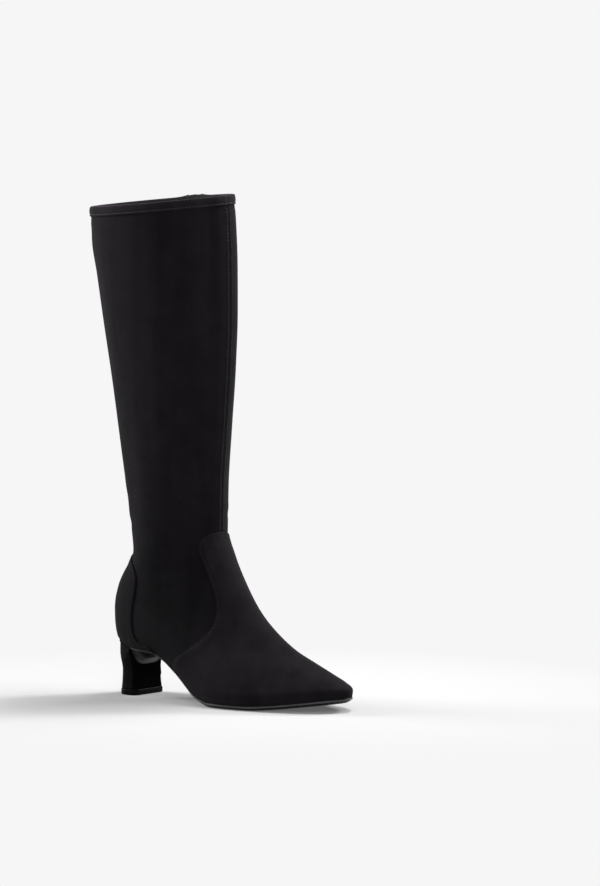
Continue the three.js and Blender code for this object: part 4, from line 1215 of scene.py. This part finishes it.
class BOOT_OT_stitches(bpy.types.Operator):
    """Makes every row of stitches"""

    bl_idname = "boot.stitches"
    bl_label = "Stitches"

    def execute(self, context):
        looks = context.scene.boot_looks
        rows = {"vamp_stitches": [], "counter_stitches": [], "shaft_stitches": [], "zip_stitches": [],
                "hem_stitches": []}
        for name, (turn, ring), sides, heart, quilt in (
                ("vamp_stitches", vamp_edge(), (1, ), 0.5, VAMP_QUILT),
                ("counter_stitches", counter_edge(), (1, -1), 0.0, COUNTER_QUILT)):
            for side in sides:
                edge, out = face_point(side * turn, ring), face_normal(side * turn, ring)
                inward = np.cross(unit(np.gradient(edge, axis=0)), out)
                if ((face_point(heart, 4) - edge) * inward).sum(axis=1).mean() < 0:
                    inward = -inward
                lift = overlay_height(np.array(SEAM_INSET), 0.0, quilt) + 0.02
                line = edge + SEAM_INSET * inward + lift * out
                keep = line[:, 2] > feather(line[:, 0]) + 3
                rows[name].append(stitch_row(line[keep], out[keep], looks))
        under_hem = LAST_RING - (HEM_DEPTH + 0.5) / COLLAR_RING_HEIGHT
        rings = np.linspace(ANKLE_RING - 0.2, under_hem, 300)
        for at, start in ((0.5, INSTEP_HEIGHT + 2), (0.0, 0.87 * INSTEP_HEIGHT)):
            for side in (-1, 1):
                turn = at + side * SEAM_INSET / speed(at, rings)
                line = suede_point(turn, rings, 0.1, looks)
                keep = line[:, 2] > start
                rows["shaft_stitches"].append(
                    stitch_row(line[keep], face_normal(turn, rings)[keep], looks))
        rings = np.linspace(ZIP_RING[0], under_hem, 400)
        for side in (-1, 1):
            turn = by_zip(side * (SLOT_WIDTH / 2 + ZIP_FOLD_STITCH), rings)
            line = suede_point(turn, rings, 0.1, looks)
            rows["zip_stitches"].append(stitch_row(line, face_normal(turn, rings), looks))
        opening = (HEM_OPENING / 2 + 1.5) / speed(zip_turn(LAST_RING), LAST_RING)
        turn = zip_turn(LAST_RING) + np.linspace(opening, 1 - opening, 400)
        ring = np.full_like(turn, LAST_RING - (HEM_DEPTH - 1.8) / COLLAR_RING_HEIGHT)
        line = suede_point(turn, ring, 0.86, looks)
        rows["hem_stitches"].append(stitch_row(line, face_normal(turn, ring), looks))
        for name, parts in rows.items():
            mesh = scattered(np.concatenate(parts), *stitch_shape(looks))
            thread, share = ("hem_thread", 10.0) if name == "hem_stitches" else ("stitch_thread", 1.0)
            finish = finish_of(thread, thread_finish, looks, thread, share)
            new_piece(name, mesh, finishes=[finish])
        return {"FINISHED"}


class BOOT_OT_insole(bpy.types.Operator):
    """Gives the frame's own insole its lining"""

    bl_idname = "boot.insole"
    bl_label = "Insole"

    def execute(self, context):
        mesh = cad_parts["insole"].data
        mesh.materials.clear()
        mesh.materials.append(lining(context.scene.boot_looks))
        return {"FINISHED"}


def aim(thing, place, way):
    """Puts a lamp or camera at a place, looking along a way."""
    thing.location = place
    thing.rotation_mode = "QUATERNION"
    thing.rotation_quaternion = way.to_track_quat("-Z", "Y")


class BOOT_OT_stage(bpy.types.Operator):
    """Makes the floor, the background, the lights and the camera"""

    bl_idname = "boot.stage"
    bl_label = "Stage"

    def execute(self, context):
        scene = context.scene
        white = (scene.boot_looks.floor_tone, ) * 3 + (1, )
        work = bmesh.new()
        bmesh.ops.create_circle(work, cap_ends=True, segments=96, radius=25)
        floor = linked("floor", mesh_of(work))
        paper = Finish("floor_paper", base_color=(0.74, 0.74, 0.74, 1), roughness=0.9,
                       specular_ior_level=0.1)
        glow = paper.node("ShaderNodeEmission", None, {"Color": white, "Strength": 1.0})
        far = paper.node("ShaderNodeVectorMath", {"operation": "LENGTH"}, {0: paper.place()}, "Value")
        share = paper.limits(far, 0.17, 0.42, 0.12, 1.0)
        mixed = paper.node("ShaderNodeMixShader", None, {0: share, 2: glow})
        paper.tree.links.new(paper.shader.outputs[0], mixed.socket.node.inputs[1])
        output = next(node for node in paper.tree.nodes if node.type == "OUTPUT_MATERIAL")
        paper.tree.links.new(mixed.socket, output.inputs["Surface"])
        floor.data.materials.append(paper.material)
        work = bmesh.new()
        bmesh.ops.create_icosphere(work, subdivisions=4, radius=30)
        background = linked("background", mesh_of(work))
        backing = Finish("background_paper", base_color=(0, 0, 0, 1), roughness=1.0,
                         specular_ior_level=0.0, emission_color=white, emission_strength=1.0)
        background.data.materials.append(backing.material)
        for ray in ("diffuse", "glossy", "transmission", "volume_scatter", "shadow"):
            setattr(background, f"visible_{ray}", False)
        floor.visible_diffuse = False
        world = bpy.data.worlds.new("studio")
        world.use_nodes = True
        sky = world.node_tree.nodes["Background"].inputs
        sky["Color"].default_value, sky["Strength"].default_value = (1, 1, 1, 1), 0.16
        scene.world = world
        for name, place, size, power in SOFTBOXES:
            lamp = bpy.data.lights.new(name, "AREA")
            lamp.shape, lamp.size, lamp.energy = "SQUARE", size, power
            aim(linked(name, lamp), place, Vector(LAMP_TARGET) - Vector(place))
        lens = bpy.data.cameras.new("photo_camera")
        lens.sensor_width, lens.lens = SENSOR, FOCAL_PIXELS / PHOTO_PIXELS * SENSOR
        lens.clip_start, lens.clip_end = 0.05, 100
        camera = linked("photo_camera", lens)
        heading, pitch = math.radians(CAMERA_HEADING), math.radians(CAMERA_PITCH)
        level = math.cos(pitch)
        aim(camera, CAMERA_PLACE,
            Vector((-math.sin(heading) * level, math.cos(heading) * level, math.sin(pitch))))
        scene.camera = camera
        scene.view_settings.view_transform = "Standard"
        return {"FINISHED"}


class BOOT_PT_panel(bpy.types.Panel):
    """Lists the pieces and the looks in the sidebar"""

    bl_label = "Boot"
    bl_idname = "BOOT_PT_panel"
    bl_space_type = "VIEW_3D"
    bl_region_type = "UI"
    bl_category = "Boot"

    def draw(self, context):
        looks = context.scene.boot_looks
        for key in BootLooks.__annotations__:
            self.layout.prop(looks, key)
        for operator in OPERATORS:
            self.layout.operator(operator.bl_idname)


OPERATORS = (BOOT_OT_stage, BOOT_OT_upper, BOOT_OT_overlays, BOOT_OT_collar, BOOT_OT_sole, BOOT_OT_heel,
             BOOT_OT_zip, BOOT_OT_stitches, BOOT_OT_insole)


def register():
    for kind in (BootLooks, *OPERATORS, BOOT_PT_panel):
        bpy.utils.register_class(kind)
    bpy.types.Scene.boot_looks = PointerProperty(type=BootLooks)


def unregister():
    del bpy.types.Scene.boot_looks
    for kind in (BOOT_PT_panel, *reversed(OPERATORS), BootLooks):
        bpy.utils.unregister_class(kind)


def main():
    register()
    for operator in OPERATORS:
        getattr(bpy.ops.boot, operator.bl_idname.split(".")[1])()


if __name__ == "__main__":
    main()
